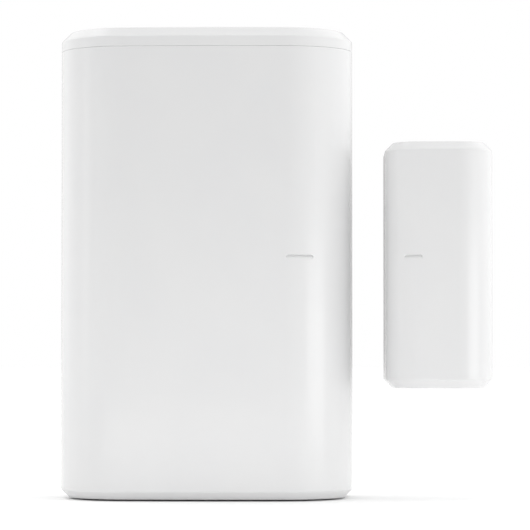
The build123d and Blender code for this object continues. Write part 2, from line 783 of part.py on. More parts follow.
with BuildPart() as magnet_cover:
    with BuildSketch(Plane.XY.offset(magnet_z0)):
        add(magnet_plan(0, cover_back_y))
    extrude(amount=magnet_unit_h)
    for end in (0, -1):
        end_rim = magnet_cover.faces().filter_by(Plane.XY).sort_by(Axis.Z)[end].edges()
        chamfer(end_rim.sort_by(Axis.Y)[:-1], magnet_chamfer)
    with BuildSketch(Plane.XY.offset(magnet_z0 + magnet_wall)):
        add(magnet_plan(magnet_wall, 0))
    extrude(amount=magnet_unit_h - 2 * magnet_wall, mode=Mode.SUBTRACT)
    add(magnet_mark, mode=Mode.SUBTRACT)
save(magnet_cover, "magnet_cover")

cradle_floor_y = (bar_y[1], bar_y[1] + cradle_floor_t)
cradle_z = around(0, bar_half_z)
right_clip_x = (bar_x + bar_half_x + bar_slack, cradle_x[1])
left_clip_x = (cradle_x[0], bar_x - bar_half_x - bar_slack)

with BuildPart() as magnet_cradle:
    span_box(cradle_foot_x, (plate_front_y, bar_y[1]), around(0, cradle_foot_half_z))
    span_box(cradle_x, cradle_floor_y, cradle_z)
    span_box(right_clip_x, cradle_wall_y, cradle_z)
    span_box(left_clip_x, cradle_wall_y, (cradle_z[0], cradle_z[0] + cradle_clip_h))
    span_box(left_clip_x, cradle_wall_y, (cradle_z[1] - cradle_clip_h, cradle_z[1]))
save(magnet_cradle, "magnet_cradle")

with BuildPart() as bar_magnet:
    span_box(around(bar_x, bar_half_x), bar_y, cradle_z)
    chamfer(bar_magnet.edges(), bar_chamfer)
save(bar_magnet, "bar_magnet")
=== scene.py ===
from math import asin, ceil, copysign, cos, hypot, pi, radians, sin, sqrt

import bmesh
import bpy
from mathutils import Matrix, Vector


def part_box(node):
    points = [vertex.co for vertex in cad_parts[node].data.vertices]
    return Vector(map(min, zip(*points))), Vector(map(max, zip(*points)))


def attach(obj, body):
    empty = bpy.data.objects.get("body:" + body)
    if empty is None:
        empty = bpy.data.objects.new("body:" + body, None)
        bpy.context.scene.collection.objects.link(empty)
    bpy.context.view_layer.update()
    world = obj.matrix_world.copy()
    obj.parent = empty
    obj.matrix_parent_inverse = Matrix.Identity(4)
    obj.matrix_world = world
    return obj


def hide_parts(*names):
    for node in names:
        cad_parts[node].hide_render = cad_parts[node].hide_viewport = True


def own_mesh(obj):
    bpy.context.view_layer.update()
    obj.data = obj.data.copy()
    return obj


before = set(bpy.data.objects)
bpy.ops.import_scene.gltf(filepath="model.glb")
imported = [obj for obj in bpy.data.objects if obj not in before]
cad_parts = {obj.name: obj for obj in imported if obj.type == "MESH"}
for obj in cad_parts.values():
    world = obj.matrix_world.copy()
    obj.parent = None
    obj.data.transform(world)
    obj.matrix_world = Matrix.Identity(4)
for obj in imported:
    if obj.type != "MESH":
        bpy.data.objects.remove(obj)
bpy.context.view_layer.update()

# Door contact sensor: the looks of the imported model. Lengths are written in millimetres and become
# metres as each mesh is made. +Z is up, +X runs from the main unit to the magnet unit, and +Y points
# into the wall.
MM = 0.001

# ---- Places read from the imported CAD parts


def box_mm(node):
    """A CAD node's lowest and highest corner, in millimetres."""
    low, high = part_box(node)
    return Vector(low) / MM, Vector(high) / MM


def round_mm(node):
    """A round CAD node's radius, its middle, and its lowest and highest corner."""
    low, high = box_mm(node)
    return (high.x - low.x) / 2, (low + high) / 2, low, high


cover_low, cover_high = box_mm("front_cover")
cap_low, cap_high = box_mm("top_cap")
snap_low, snap_high = box_mm("magnet_cover")
face_y = box_mm("circuit_board")[0].y

# ---- Shape values

CROWN_R = 250.0
UNIT_CORNER_R = 10.5
UNIT_WALL = 1.8
CAP_CHAMFER = 1.4
CAP_H = 2.84
FOOT_CHAMFER = 1.2
CAP_POCKET_INSET = 3.4
CAP_POCKET_BACK = 3.0
CAP_ROOF = 1.4
PEG_R = 1.2
PEG_CHAMFER = 0.3
PEG_SPOTS = ((-14.0, -7.5), (14.0, -7.5), (0.0, -14.5))
LIP_IN = 18.2
LIP_DEPTH = 1.0
LIP_DROP = 1.9
MAGNET_CORNER_R = 5.4
MAGNET_WALL = 1.6
MAGNET_CHAMFER = 1.2
EDGE_R = 0.22
BEVEL_R = 1.6 * EDGE_R
RIM_R = 0.15
SHOULDER = 0.15
SEAM_R = 0.06
SEAM_LEFT = 0.02
LIP_REACH = 1.0

MARK_Z = 0.8
MARK_H = 0.8
MARK_DEPTH = 0.35
MARK_SOFT = 0.1
UNIT_MARK = (12.15, 16.2)
MAGNET_MARK = (2.7, 5.5)

# How finely the housings are divided, and how far the fine steps run past the marks
CORNER_STEP = radians(2.5)
ROW_STEP = 6.0
MARK_STEP_X = 0.045
MARK_STEP_Z = 0.04
MARK_PAST_X = 0.3
MARK_PAST_Z = 0.15

# How far added shapes reach into what they stand on: ribs and pegs, and parts on the board
ROOT = 0.2
SUNK = 0.02
# A wire's domed end as a share of its radius, and the smallest length that counts
WIRE_TIP = 0.35
TINY = 1e-6

# ---- Mesh tools


def even_normals(obj):
    """Lets the large flat faces decide the shading beside the small rounded edges."""
    weigh = obj.modifiers.new("even_normals", "WEIGHTED_NORMAL")
    weigh.keep_sharp = True


def soften_edges(obj, width):
    """Joins a mesh's split edges, rounds its sharp ones a little and shades it evenly."""
    join = obj.modifiers.new("join", "WELD")
    join.merge_threshold = 2e-6
    flatten = obj.modifiers.new("flatten", "DECIMATE")
    flatten.decimate_type = "DISSOLVE"
    flatten.angle_limit = radians(0.5)
    rounding = obj.modifiers.new("rounding", "BEVEL")
    rounding.width = width * MM
    rounding.segments = 2
    rounding.limit_method = "ANGLE"
    rounding.angle_limit = radians(40)
    rounding.use_clamp_overlap = True
    even_normals(obj)


def make_piece(name, shells, slot, nodes=(), body="base_unit", look=None, rounding=0.0, sharp=32):
    """One object from shells of (points in mm, faces), with smooth shading broken at real edges.

    Its look is its slot's, unless another is given."""
    mesh = bpy.data.meshes.new(name)
    form = bmesh.new()
    for points, faces in shells:
        made = [form.verts.new(Vector(p) * MM) for p in points]
        for face in faces:
            form.faces.new([made[k] for k in face])
    bmesh.ops.recalc_face_normals(form, faces=form.faces)
    form.to_mesh(mesh)
    form.free()
    mesh.shade_smooth()
    mesh.set_sharp_from_angle(angle=radians(sharp))
    mesh.materials.append(look or looks[slot])
    obj = bpy.data.objects.new(name, mesh)
    bpy.context.scene.collection.objects.link(obj)
    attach(obj, body)
    if nodes:
        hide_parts(*nodes)
    if rounding:
        soften_edges(obj, rounding)
    return obj


def steps_between(low, high, step):
    """Evenly spaced places from low to high, about step apart."""
    count = max(1, ceil((high - low) / step - 1e-9))
    return [low + (high - low) * k / count for k in range(count + 1)]


def rounded(points, radii, arc_steps=5, shoulder=0.0):
    """A line of 2-D points with each inner corner turned into an arc of the radius given for it."""
    line = [Vector(points[0])]
    for before, corner, after, radius in zip(points, points[1:], points[2:], radii):
        here = Vector(corner)
        back = (Vector(before) - here).normalized()
        ahead = (Vector(after) - here).normalized()
        if radius <= 0:
            line.append(here)
            continue
        half_turn = back.angle(ahead) / 2
        run = radius / (sin(half_turn) / cos(half_turn))
        centre = here + (back + ahead).normalized() * (radius / sin(half_turn))
        start = here + back * run
        end = here + ahead * run
        if shoulder:
            line.append(start + back * shoulder)
        for k in range(arc_steps + 1):
            share = k / arc_steps
            chord = start.lerp(end, share) - centre
            line.append(centre + chord.normalized() * radius)
        if shoulder:
            line.append(end + ahead * shoulder)
    line.append(Vector(points[-1]))
    return line


def lathe(profile, place, sides=64, closed=False):
    """Turns (radius, height) points round an axis. A radius of 0 closes an end in a point."""
    points, rings, faces = [], [], []
    for radius, height in profile:
        if radius < TINY:
            rings.append([len(points)] * sides)
            points.append(place(0.0, 0.0, height))
            continue
        rings.append(list(range(len(points), len(points) + sides)))
        for k in range(sides):
            turn = 2 * pi * k / sides
            points.append(place(radius * cos(turn), radius * sin(turn), height))
    pairs = list(zip(rings, rings[1:]))
    if closed:
        pairs.append((rings[-1], rings[0]))
    for low, high in pairs:
        for k in range(sides):
            j = (k + 1) % sides
            loop = [low[k], low[j], high[j], high[k]]
            face = [v for i, v in enumerate(loop) if v != loop[i - 1]]
            if len(face) > 2:
                faces.append(face)
    return points, faces


def tube(path, radius, sides=12):
    """A round wire along a path of 3-D points, closed at both ends with a small dome."""
    points, faces = [], []
    side = None
    rings = []
    last = len(path) - 1
    for i, here in enumerate(path):
        ahead = (path[min(i + 1, last)] - path[max(i - 1, 0)]).normalized()
        if side is None:
            side = ahead.orthogonal().normalized()
        side = (side - ahead * side.dot(ahead)).normalized()
        other = ahead.cross(side)
        rings.append(range(len(points), len(points) + sides))
        for k in range(sides):
            turn = 2 * pi * k / sides
            points.append(here + radius * (side * cos(turn) + other * sin(turn)))
    for low, high in zip(rings, rings[1:]):
        for k in range(sides):
            j = (k + 1) % sides
            faces.append([low[k], low[j], high[j], high[k]])
    for ring, end, before in ((rings[0], path[0], path[1]), (rings[-1], path[-1], path[-2])):
        tip = len(points)
        points.append(end + (end - before).normalized() * radius * WIRE_TIP)
        for k in range(sides):
            faces.append([ring[k], ring[(k + 1) % sides], tip])
    return points, faces


def block(x_span, y_span, z_span):
    """A plain block between a low and a high place along each axis."""
    points = [(x, y, z) for x in x_span for y in y_span for z in z_span]
    faces = [(0, 1, 3, 2), (4, 6, 7, 5), (0, 4, 5, 1), (2, 3, 7, 6), (0, 2, 6, 4), (1, 5, 7, 3)]
    return points, faces


def plate(edge, y_span):
    """A flat plate from a closed line of (x, z) points."""
    count = len(edge)
    points = [(x, y, z) for y in y_span for x, z in edge]
    faces = [list(range(count)), list(range(count, 2 * count))]
    for k in range(count):
        j = (k + 1) % count
        faces.append([k, j, count + j, count + k])
    return points, faces


def track(width, y_span, *route):
    """A flat line of even width through (x, z) points, its corners mitred."""
    spots = [Vector(spot) for spot in route]
    ways = [(after - here).normalized() for here, after in zip(spots, spots[1:])]
    right, left = [], []
    for k, spot in enumerate(spots):
        first, second = ways[max(k - 1, 0)], ways[min(k, len(ways) - 1)]
        across = Vector((first.y + second.y, -first.x - second.x)).normalized()
        reach = across * (width / 2 / across.dot(Vector((second.y, -second.x))))
        right.append(spot + reach)
        left.append(spot - reach)
    return plate([tuple(spot) for spot in right + left[::-1]], y_span)


def up_z(x, y):
    """Places lathe points round a vertical axis."""
    return lambda u, v, h: Vector((x + u, y + v, h))


def along_y(x, z):
    """Places lathe points round an axis along Y."""
    return lambda u, v, h: Vector((x + u, h, z + v))


def turned(corners, radii, mid, sides, arc_steps=5):
    """Rounded (radius, y) corners turned round an axis along Y through mid."""
    return lathe(rounded(corners, radii, arc_steps), along_y(mid.x, mid.z), sides)


# ---- Housings


def outline(mid, half_w, front, corner_r, back, mark_x):
    """Points round the front and sides, each with its outward normal, with fine steps at the mark."""
    reach = half_w - corner_r
    crown_y = front + CROWN_R
    corner_y = crown_y - sqrt((CROWN_R - corner_r) ** 2 - reach**2)
    turn = asin(reach / (CROWN_R - corner_r))
    flat_half = CROWN_R * sin(turn)

    def angle_at(x):
        if abs(x) <= flat_half:
            return asin(x / CROWN_R)
        return copysign(asin(min(1.0, (abs(x) - reach) / corner_r)), x)

    angles = [sign * a for sign in (-1, 1) for a in steps_between(turn, pi / 2, CORNER_STEP)]
    angles += [asin(x / CROWN_R) for x in steps_between(-flat_half, flat_half, flat_half / 8)]
    if mark_x:
        fine_x = steps_between(mark_x[0] - MARK_PAST_X, mark_x[1] + MARK_PAST_X, MARK_STEP_X)
        fine = [angle_at(x - mid) for x in fine_x]
        low, high = min(fine), max(fine)
        angles = [a for a in angles if a < low or a > high] + fine
    columns = []
    for angle in sorted(set(round(a, 7) for a in angles)):
        normal = Vector((sin(angle), -cos(angle)))
        if abs(angle) <= turn + TINY:
            centre, radius = Vector((mid, crown_y)), CROWN_R
        else:
            centre, radius = Vector((mid + copysign(reach, angle), corner_y)), corner_r
        columns.append((centre + normal * radius, normal))
    for sign in (-1, 1):
        normal = Vector((sign, 0.0))
        side_x = mid + sign * half_w
        spots = ((sign * RIM_R, back), (0.0, back - RIM_R), (0.0, back - 3 * RIM_R), (0.0, corner_y + 0.3))
        ends = [(Vector((side_x - inward, y)), normal) for inward, y in spots]
        columns = ends + columns if sign < 0 else columns + ends[::-1]
    return columns


def slot_depth(x, z, mark_x):
    """How far the alignment mark is pressed in: a steep wall along its top, sloping out below."""
    half = MARK_H / 2
    nearest = min(max(x, mark_x[0] + half), mark_x[1] - half)
    inside = half - hypot(x - nearest, z - MARK_Z)
    share = min(1.0, max(0.0, inside / MARK_SOFT))
    slope = min(1.0, max(0.0, (z - MARK_Z + half) / (MARK_H - MARK_SOFT)))
    return MARK_DEPTH * slope * slope * share * share * (3 - 2 * share)


def with_mark_rows(profile):
    """Adds fine rows across the mark to the outer wall of a profile of (inset, z)."""
    rows = []
    reach = MARK_H / 2 + MARK_PAST_Z
    low, high = MARK_Z - reach, MARK_Z + reach
    for here, after in zip(profile, profile[1:]):
        rows.append(here)
        if max(here.x, after.x) < TINY and here.y < low and after.y > high:
            levels = steps_between(here.y, low, ROW_STEP)[1:-1] + steps_between(low, high, MARK_STEP_Z)
            levels += steps_between(high, after.y, ROW_STEP)[1:-1]
            rows += [Vector((0.0, z)) for z in levels]
    rows.append(profile[-1])
    return rows


def wrap(columns, rows, mark_x=None):
    """The points of every row round every column, moved in by the row's inset."""
    points = []
    for row in rows:
        for at, normal in columns:
            inset = row.x
            if mark_x and inset < TINY:
                inset = slot_depth(at.x, row.y, mark_x)
            place = at - normal * inset
            points.append(Vector((place.x, place.y, row.y)))
    return points


def end_rows(count, width, first=0):
    """The flat faces that close the first and the last row."""
    return [list(range(start, start + width)) for start in (first, first + (count - 1) * width)]


def strips(row_count, width, first=0, closed=False):
    """Quads between neighbouring rows."""
    faces = []
    for i in range(row_count - 1):
        for j in range(width if closed else width - 1):
            k = (j + 1) % width
            a, b = first + i * width, first + (i + 1) * width
            faces.append([a + j, a + k, b + k, b + j])
    return faces


def cover_shell():
    """The main unit's front cover: outside, rim, inside and floor as one closed skin."""
    low, high = cover_low.z, cover_high.z
    columns = outline(0.0, cover_high.x, cover_low.y, UNIT_CORNER_R, cover_high.y, UNIT_MARK)
    corners = [
        (FOOT_CHAMFER + 1.0, low), (FOOT_CHAMFER, low), (0.0, low + FOOT_CHAMFER),
        (0.0, high), (UNIT_WALL, high),
        (UNIT_WALL, low + UNIT_WALL), (UNIT_WALL + 1.5, low + UNIT_WALL),
    ]
    profile = rounded(corners, (EDGE_R, BEVEL_R, SEAM_R, RIM_R, 0.5), shoulder=SHOULDER)
    rows = with_mark_rows(profile)
    width, count = len(columns), len(rows)
    faces = strips(count, width) + end_rows(count, width)
    right = [i * width + width - 1 for i in range(count)]
    left = [i * width for i in range(count)]
    faces.append(left + right[::-1])
    return wrap(columns, rows, UNIT_MARK), faces


def magnet_shell():
    """The magnet unit's cover: closed at both ends, open at the back."""
    low, high = snap_low.z, snap_high.z
    mid = (snap_low.x + snap_high.x) / 2
    half_w = (snap_high.x - snap_low.x) / 2
    mark_x = (snap_low.x + MAGNET_MARK[0], snap_low.x + MAGNET_MARK[1])
    columns = outline(mid, half_w, snap_low.y, MAGNET_CORNER_R, snap_high.y, mark_x)
    corners = [
        (MAGNET_CHAMFER + 0.8, low), (MAGNET_CHAMFER, low), (0.0, low + MAGNET_CHAMFER),
        (0.0, high - MAGNET_CHAMFER), (MAGNET_CHAMFER, high), (MAGNET_CHAMFER + 0.8, high),
    ]
    profile = rounded(corners, (EDGE_R, BEVEL_R, BEVEL_R, EDGE_R), shoulder=SHOULDER)
    rows = with_mark_rows(profile)
    split = min(range(len(rows)), key=lambda i: abs(rows[i].y - MARK_Z) + rows[i].x)
    middle = rows[split].y
    floor, roof = low + MAGNET_WALL, high - MAGNET_WALL
    turns_in = ((1.0, floor), (0.0, floor), (0.0, middle), (0.0, roof), (1.0, roof))
    inner = [Vector((MAGNET_WALL + further, z)) for further, z in turns_in]
    inner_split = 2
    width, count, inner_count = len(columns), len(rows), len(inner)
    base = count * width
    points = wrap(columns, rows, mark_x) + wrap(columns, inner)
    faces = strips(count, width) + strips(inner_count, width, first=base)
    faces += end_rows(count, width) + end_rows(inner_count, width, first=base)

    def edge(first, levels, last):
        return [first + i * width + (width - 1 if last else 0) for i in levels]

    lower = edge(0, range(split, -1, -1), False) + edge(0, range(split + 1), True)
    lower += edge(base, range(inner_split, -1, -1), True) + edge(base, range(inner_split + 1), False)
    upper = edge(0, range(split, count), False) + edge(0, range(count - 1, split - 1, -1), True)
    upper += edge(base, range(inner_split, inner_count), True)
    upper += edge(base, range(inner_count - 1, inner_split - 1, -1), False)
    faces += [lower, upper]
    return points, faces


def cap_shell():
    """The top cap: a bevelled lid with a shallow pocket underneath and a fine lip at the seam."""
    high, back = cap_high.z, cap_high.y
    seat = high - CAP_H
    lip = cover_high.z + SEAM_LEFT
    lip_end = cover_high.y
    columns = outline(0.0, cap_high.x, cap_low.y, UNIT_CORNER_R, back, None)
    columns = [c for c in columns if c[0].y < lip_end]
    for sign in (-1, 1):
        side = Vector((sign, 0.0))
        ends = [(Vector((sign * cap_high.x, y)), side) for y in (back, lip_end + 0.1, lip_end)]
        columns = ends + columns if sign < 0 else columns + ends[::-1]
    corners = [
        (CAP_POCKET_INSET + 1.5, high - CAP_ROOF), (CAP_POCKET_INSET, high - CAP_ROOF),
        (CAP_POCKET_INSET, seat), (LIP_REACH, seat), (LIP_REACH - 0.1, lip), (0.0, lip),
        (0.0, high - CAP_CHAMFER), (CAP_CHAMFER, high), (CAP_CHAMFER + 1.0, high),
    ]
    softness = (0.3, RIM_R, 0.0, 0.0, SEAM_R, BEVEL_R, BEVEL_R)
    profile = rounded(corners, softness, shoulder=SHOULDER)
    points = wrap(columns, profile)
    width, count = len(columns), len(profile)
    pocket_edge = CAP_POCKET_INSET - 0.5
    for i, row in enumerate(profile):
        row_back = back
        if row.y < high - CAP_ROOF + TINY and row.x > pocket_edge:
            row_back = back - CAP_POCKET_BACK - max(0.0, row.x - CAP_POCKET_INSET)
        for j in (0, 1, 2, width - 3, width - 2, width - 1):
            point = points[i * width + j]
            point.y = min(point.y, row_back + 0.001 * min(j, width - 1 - j))
            if point.y > lip_end + 0.05:
                point.z = max(point.z, seat)
    return points, strips(count, width, closed=True) + end_rows(count, width)


# ---- Materials


def add_node(tree, kind, inputs=None, **settings):
    """A shader node with its settings and its inputs, which are values or other nodes' outputs."""
    made = tree.nodes.new(kind)
    for key, value in settings.items():
        setattr(made, key, value)
    for key, value in (inputs or {}).items():
        if isinstance(value, bpy.types.NodeSocket):
            tree.links.new(value, made.inputs[key])
        else:
            made.inputs[key].default_value = value
    return made


def start_material(name, **sockets):
    """A material with one Principled shader. Constant values go straight to its sockets."""
    material = bpy.data.materials.new(name)
    material.use_nodes = True
    tree = material.node_tree
    tree.nodes.clear()
    shader = tree.nodes.new("ShaderNodeBsdfPrincipled")
    output = tree.nodes.new("ShaderNodeOutputMaterial")
    tree.links.new(shader.outputs["BSDF"], output.inputs["Surface"])
    for key, value in sockets.items():
        shader.inputs[key.replace("_", " ")].default_value = value
    return material, tree, shader


def place_of(tree, stretch=(1.0, 1.0, 1.0)):
    """Where a point lies on the object, in millimetres, stretched for a pattern."""
    at = add_node(tree, "ShaderNodeTexCoord").outputs["Object"]
    size = tuple(s / MM for s in stretch)
    return add_node(tree, "ShaderNodeMapping", {"Vector": at, "Scale": size}).outputs["Vector"]


def grain(at, size, detail=3.0):
    """Soft random variation with features about size millimetres across."""
    inputs = {"Vector": at, "Scale": 1.0 / size, "Detail": detail}
    return add_node(at.id_data, "ShaderNodeTexNoise", inputs).outputs["Fac"]


def spread(value, low, high, from_low=0.3, from_high=0.7):
    """Maps a pattern's middle range to low and high."""
    inputs = {"Value": value, "From Min": from_low, "From Max": from_high, "To Min": low, "To Max": high}
    return add_node(value.id_data, "ShaderNodeMapRange", inputs).outputs["Result"]


def tint(share, first, second):
    """A colour between two, by a pattern's value."""
    ends = {"Factor": share, "A": (*first, 1.0), "B": (*second, 1.0)}
    return add_node(share.id_data, "ShaderNodeMix", ends, data_type="RGBA").outputs["Result"]


def figure(operation, *values):
    """One step of arithmetic on patterns, of which the first is a node's output."""
    inputs = dict(enumerate(values))
    return add_node(values[0].id_data, "ShaderNodeMath", inputs, operation=operation).outputs["Value"]


def relief(shader, height, microns, under=None):
    """Bumps of the given height in microns, on top of any other bumps."""
    inputs = {"Height": height, "Distance": microns * 1e-6, "Strength": 1.0}
    if under is not None:
        inputs["Normal"] = under
    bumps = add_node(shader.id_data, "ShaderNodeBump", inputs).outputs["Normal"]
    shader.id_data.links.new(bumps, shader.inputs["Normal"])
    return bumps


def colour_by(shader, share, first, second):
    """The base colour, between two by a pattern's value."""
    shader.id_data.links.new(tint(share, first, second), shader.inputs["Base Color"])


def rough_by(shader, pattern, low, high, *middle):
    """The roughness, from low to high over a pattern's middle range."""
    shader.id_data.links.new(spread(pattern, low, high, *middle), shader.inputs["Roughness"])


def moulded(name, tone, shade, rough, fine, fine_microns, wave, wave_microns, ior):
    """Moulded plastic: fine surface grain, a slow flow ripple and slightly uneven gloss."""
    material, tree, shader = start_material(name, IOR=ior)
    at = place_of(tree)
    cloud = grain(at, 9.0, detail=2.0)
    colour_by(shader, spread(cloud, 0.0, 1.0), tone, shade)
    rough_by(shader, grain(at, 2.2, detail=4.0), *rough)
    slow = relief(shader, grain(at, wave, detail=1.0), wave_microns)
    relief(shader, grain(at, fine, detail=2.0), fine_microns, under=slow)
    return material


def metal(name, tone, shade, rough, stretch, scratch_microns):
    """Plated or rolled metal: fine marks along one direction and cloudy gloss."""
    material, tree, shader = start_material(name, Metallic=1.0)
    cloud = grain(place_of(tree), 1.6, detail=3.0)
    colour_by(shader, spread(cloud, 0.0, 1.0), tone, shade)
    lines = grain(place_of(tree, stretch=stretch), 0.12, detail=2.0)
    mixed = figure("MULTIPLY_ADD", lines, 0.5, figure("MULTIPLY", cloud, 0.5))
    rough_by(shader, mixed, *rough)
    relief(shader, lines, scratch_microns)
    return material


# For each plastic: tone, shade, roughness, fine grain and its microns, ripple and its microns, IOR
plastics = {
    "housing_white": ((0.76, 0.76, 0.76), (0.748, 0.749, 0.752), (0.17, 0.23), 0.22, 0.35, 2.6, 1.6, 1.5),
    "base_white": ((0.76, 0.76, 0.755), (0.72, 0.72, 0.715), (0.46, 0.62), 0.12, 5.0, 3.0, 2.0, 1.48),
    "cradle_white": ((0.74, 0.735, 0.71), (0.70, 0.695, 0.67), (0.42, 0.58), 0.14, 4.0, 2.4, 3.0, 1.48),
    "tray_black": ((0.022, 0.023, 0.025), (0.032, 0.033, 0.036), (0.42, 0.6), 0.13, 6.0, 2.4, 3.0, 1.48),
    "switch_black": ((0.018, 0.018, 0.02), (0.028, 0.028, 0.03), (0.34, 0.5), 0.1, 3.0, 1.2, 2.0, 1.5),
    "button_brown": ((0.16, 0.085, 0.045), (0.12, 0.06, 0.032), (0.3, 0.45), 0.08, 2.0, 0.8, 2.0, 1.5),
    "plunger_grey": ((0.36, 0.37, 0.38), (0.31, 0.32, 0.33), (0.32, 0.48), 0.1, 2.5, 1.0, 2.0, 1.5),
}
# For each metal: tone, shade, roughness, how its marks are stretched, and their microns
metals = {
    "contact_nickel": ((0.66, 0.63, 0.57), (0.58, 0.55, 0.5), (0.2, 0.42), (0.12, 1.0, 1.0), 1.2),
    "spring_steel": ((0.6, 0.58, 0.54), (0.5, 0.48, 0.45), (0.22, 0.4), (1.0, 1.0, 1.0), 0.8),
    "cell_can": ((0.68, 0.67, 0.65), (0.58, 0.57, 0.55), (0.16, 0.36), (1.0, 1.0, 0.1), 0.8),
    "shield_tin": ((0.7, 0.7, 0.68), (0.6, 0.6, 0.58), (0.26, 0.5), (0.1, 1.0, 1.0), 1.5),
    "antenna_gold": ((0.83, 0.6, 0.25), (0.78, 0.56, 0.23), (0.38, 0.43), (1.0, 1.0, 0.2), 0.2),
    "capacitor_sleeve": ((0.68, 0.69, 0.7), (0.63, 0.64, 0.65), (0.29, 0.35), (1.0, 0.1, 1.0), 0.25),
    "screw_steel": ((0.42, 0.42, 0.42), (0.32, 0.32, 0.33), (0.25, 0.45), (1.0, 0.3, 1.0), 1.5),
    "solder_tin": ((0.72, 0.72, 0.7), (0.64, 0.64, 0.62), (0.14, 0.26), (1.0, 1.0, 1.0), 0.2),
    "reed_lead": ((0.7, 0.68, 0.62), (0.6, 0.58, 0.52), (0.15, 0.3), (1.0, 1.0, 0.15), 0.5),
    "magnet_nickel": ((0.62, 0.6, 0.56), (0.52, 0.5, 0.47), (0.16, 0.34), (1.0, 1.0, 0.3), 1.0),
}
# For each solder mask: tone and shade
solder_masks = {
    "board_green": ((0.01, 0.07, 0.028), (0.014, 0.085, 0.034)),
    "track_green": ((0.026, 0.15, 0.058), (0.032, 0.17, 0.066)),
    "radio_blue": ((0.008, 0.036, 0.055), (0.011, 0.045, 0.066)),
}


def foam_material():
    """Closed-cell foam: small rounded cells under a faint skin."""
    material, tree, shader = start_material("foam_tape", IOR=1.4)
    at = place_of(tree)
    cells = add_node(tree, "ShaderNodeTexVoronoi", {"Vector": at, "Scale": 3.2, "Randomness": 1.0})
    dots = cells.outputs["Distance"]
    share = spread(dots, 0.0, 1.0, 0.1, 0.8)
    colour_by(shader, share, (0.6, 0.6, 0.58), (0.74, 0.74, 0.72))
    rough_by(shader, grain(at, 1.0), 0.75, 0.95)
    slow = relief(shader, grain(at, 4.0), 60.0)
    relief(shader, dots, 70.0, under=slow)
    return material


def board_material(name, mask, shade):
    """Solder mask over a woven laminate: glossy, with the weave just showing through."""
    material, tree, shader = start_material(name, IOR=1.55, Coat_Weight=0.25, Coat_Roughness=0.12)
    at = place_of(tree)
    bands = {"Vector": at, "Scale": 0.8, "Distortion": 0.5, "Detail": 1.0}
    threads = [add_node(tree, "ShaderNodeTexWave", bands, bands_direction=way) for way in "XZ"]
    weave = figure("MULTIPLY", *(thread.outputs["Fac"] for thread in threads))
    cloud = grain(at, 4.0, detail=2.0)
    share = figure("MULTIPLY_ADD", weave, 0.35, figure("MULTIPLY", cloud, 0.65))
    colour_by(shader, spread(share, 0.0, 1.0, 0.15, 0.7), mask, shade)
    rough_by(shader, grain(at, 1.2), 0.28, 0.42)
    slow = relief(shader, weave, 3.0)
    relief(shader, grain(at, 0.15), 1.5, under=slow)
    return material


def jacket_material(name, ring_low, ring_high):
    """A lacquered sleeve: plain slate blue with a pale ring near the positive end."""
    material, tree, shader = start_material(name, IOR=1.5, Coat_Weight=0.6, Coat_Roughness=0.08)
    at = place_of(tree)
    height = add_node(tree, "ShaderNodeSeparateXYZ", {"Vector": at}).outputs["Z"]
    above = spread(height, 0.0, 1.0, ring_low, ring_low + 0.04)
    below = spread(height, 1.0, 0.0, ring_high, ring_high + 0.04)
    ring = figure("MULTIPLY", above, below)
    cloud = spread(grain(at, 1.8, detail=2.0), 0.0, 1.0)
    blue = tint(cloud, (0.036, 0.068, 0.118), (0.046, 0.082, 0.136))
    pale = tint(cloud, (0.5, 0.51, 0.52), (0.56, 0.57, 0.58))
    mixed = add_node(tree, "ShaderNodeMix", {"Factor": ring, "A": blue, "B": pale}, data_type="RGBA")
    tree.links.new(mixed.outputs["Result"], shader.inputs["Base Color"])
    rough_by(shader, grain(at, 2.5), 0.24, 0.38)
    relief(shader, grain(place_of(tree, stretch=(1.0, 1.0, 0.15)), 1.4, detail=2.0), 9.0)
    return material


def chip_material():
    """Moulded epoxy package with a round dimple at one corner."""
    material, tree, shader = start_material("chip_black", IOR=1.52)
    at = place_of(tree)
    low, high = box_mm("controller_chip")
    dot = (low.x + 0.75, 0.0, high.z - 0.75)
    flat = place_of(tree, stretch=(1.0, 0.0, 1.0))
    apart = add_node(tree, "ShaderNodeVectorMath", {0: flat, 1: dot}, operation="DISTANCE")
    dimple = spread(apart.outputs["Value"], 1.0, 0.0, 0.26, 0.32)
    speck = grain(at, 0.09, detail=3.0)
    share = spread(speck, 0.0, 1.0)
    colour_by(shader, share, (0.014, 0.014, 0.015), (0.032, 0.032, 0.034))
    rough_by(shader, dimple, 0.55, 0.25, 0.0, 1.0)
    first = relief(shader, speck, 4.0)
    relief(shader, figure("MULTIPLY", dimple, -1.0), 60.0, under=first)
    return material


def ceramic_material():
    """Chip capacitors: pale brown fired ceramic. Their tinned ends are geometry of their own."""
    material, tree, shader = start_material("passive_ceramic", IOR=1.6)
    at = place_of(tree)
    share = spread(grain(at, 0.4, detail=2.0), 0.0, 1.0)
    colour_by(shader, share, (0.3, 0.18, 0.09), (0.36, 0.22, 0.115))
    rough_by(shader, grain(at, 0.3), 0.35, 0.55)
    relief(shader, grain(at, 0.08), 2.0)
    return material


def glass_material():
    """Thin greenish glass with faint drawn lines."""
    material, tree, shader = start_material("reed_glass", IOR=1.5, Transmission_Weight=1.0, Roughness=0.02)
    along = place_of(tree, stretch=(1.0, 1.0, 0.1))
    colour_by(shader, grain(along, 0.6), (0.84, 0.95, 0.88), (0.9, 0.98, 0.93))
    relief(shader, grain(along, 0.5), 1.0)
    return material


def lens_material():
    """The status light's milky resin."""
    material, tree, shader = start_material(
        "led_lens", IOR=1.52, Transmission_Weight=0.35, Subsurface_Weight=0.2, Subsurface_Scale=0.0004
    )
    at = place_of(tree)
    colour_by(shader, grain(at, 0.4), (0.78, 0.76, 0.66), (0.86, 0.85, 0.78))
    rough_by(shader, grain(at, 0.2), 0.18, 0.3)
    relief(shader, grain(at, 0.25), 2.0)
    return material


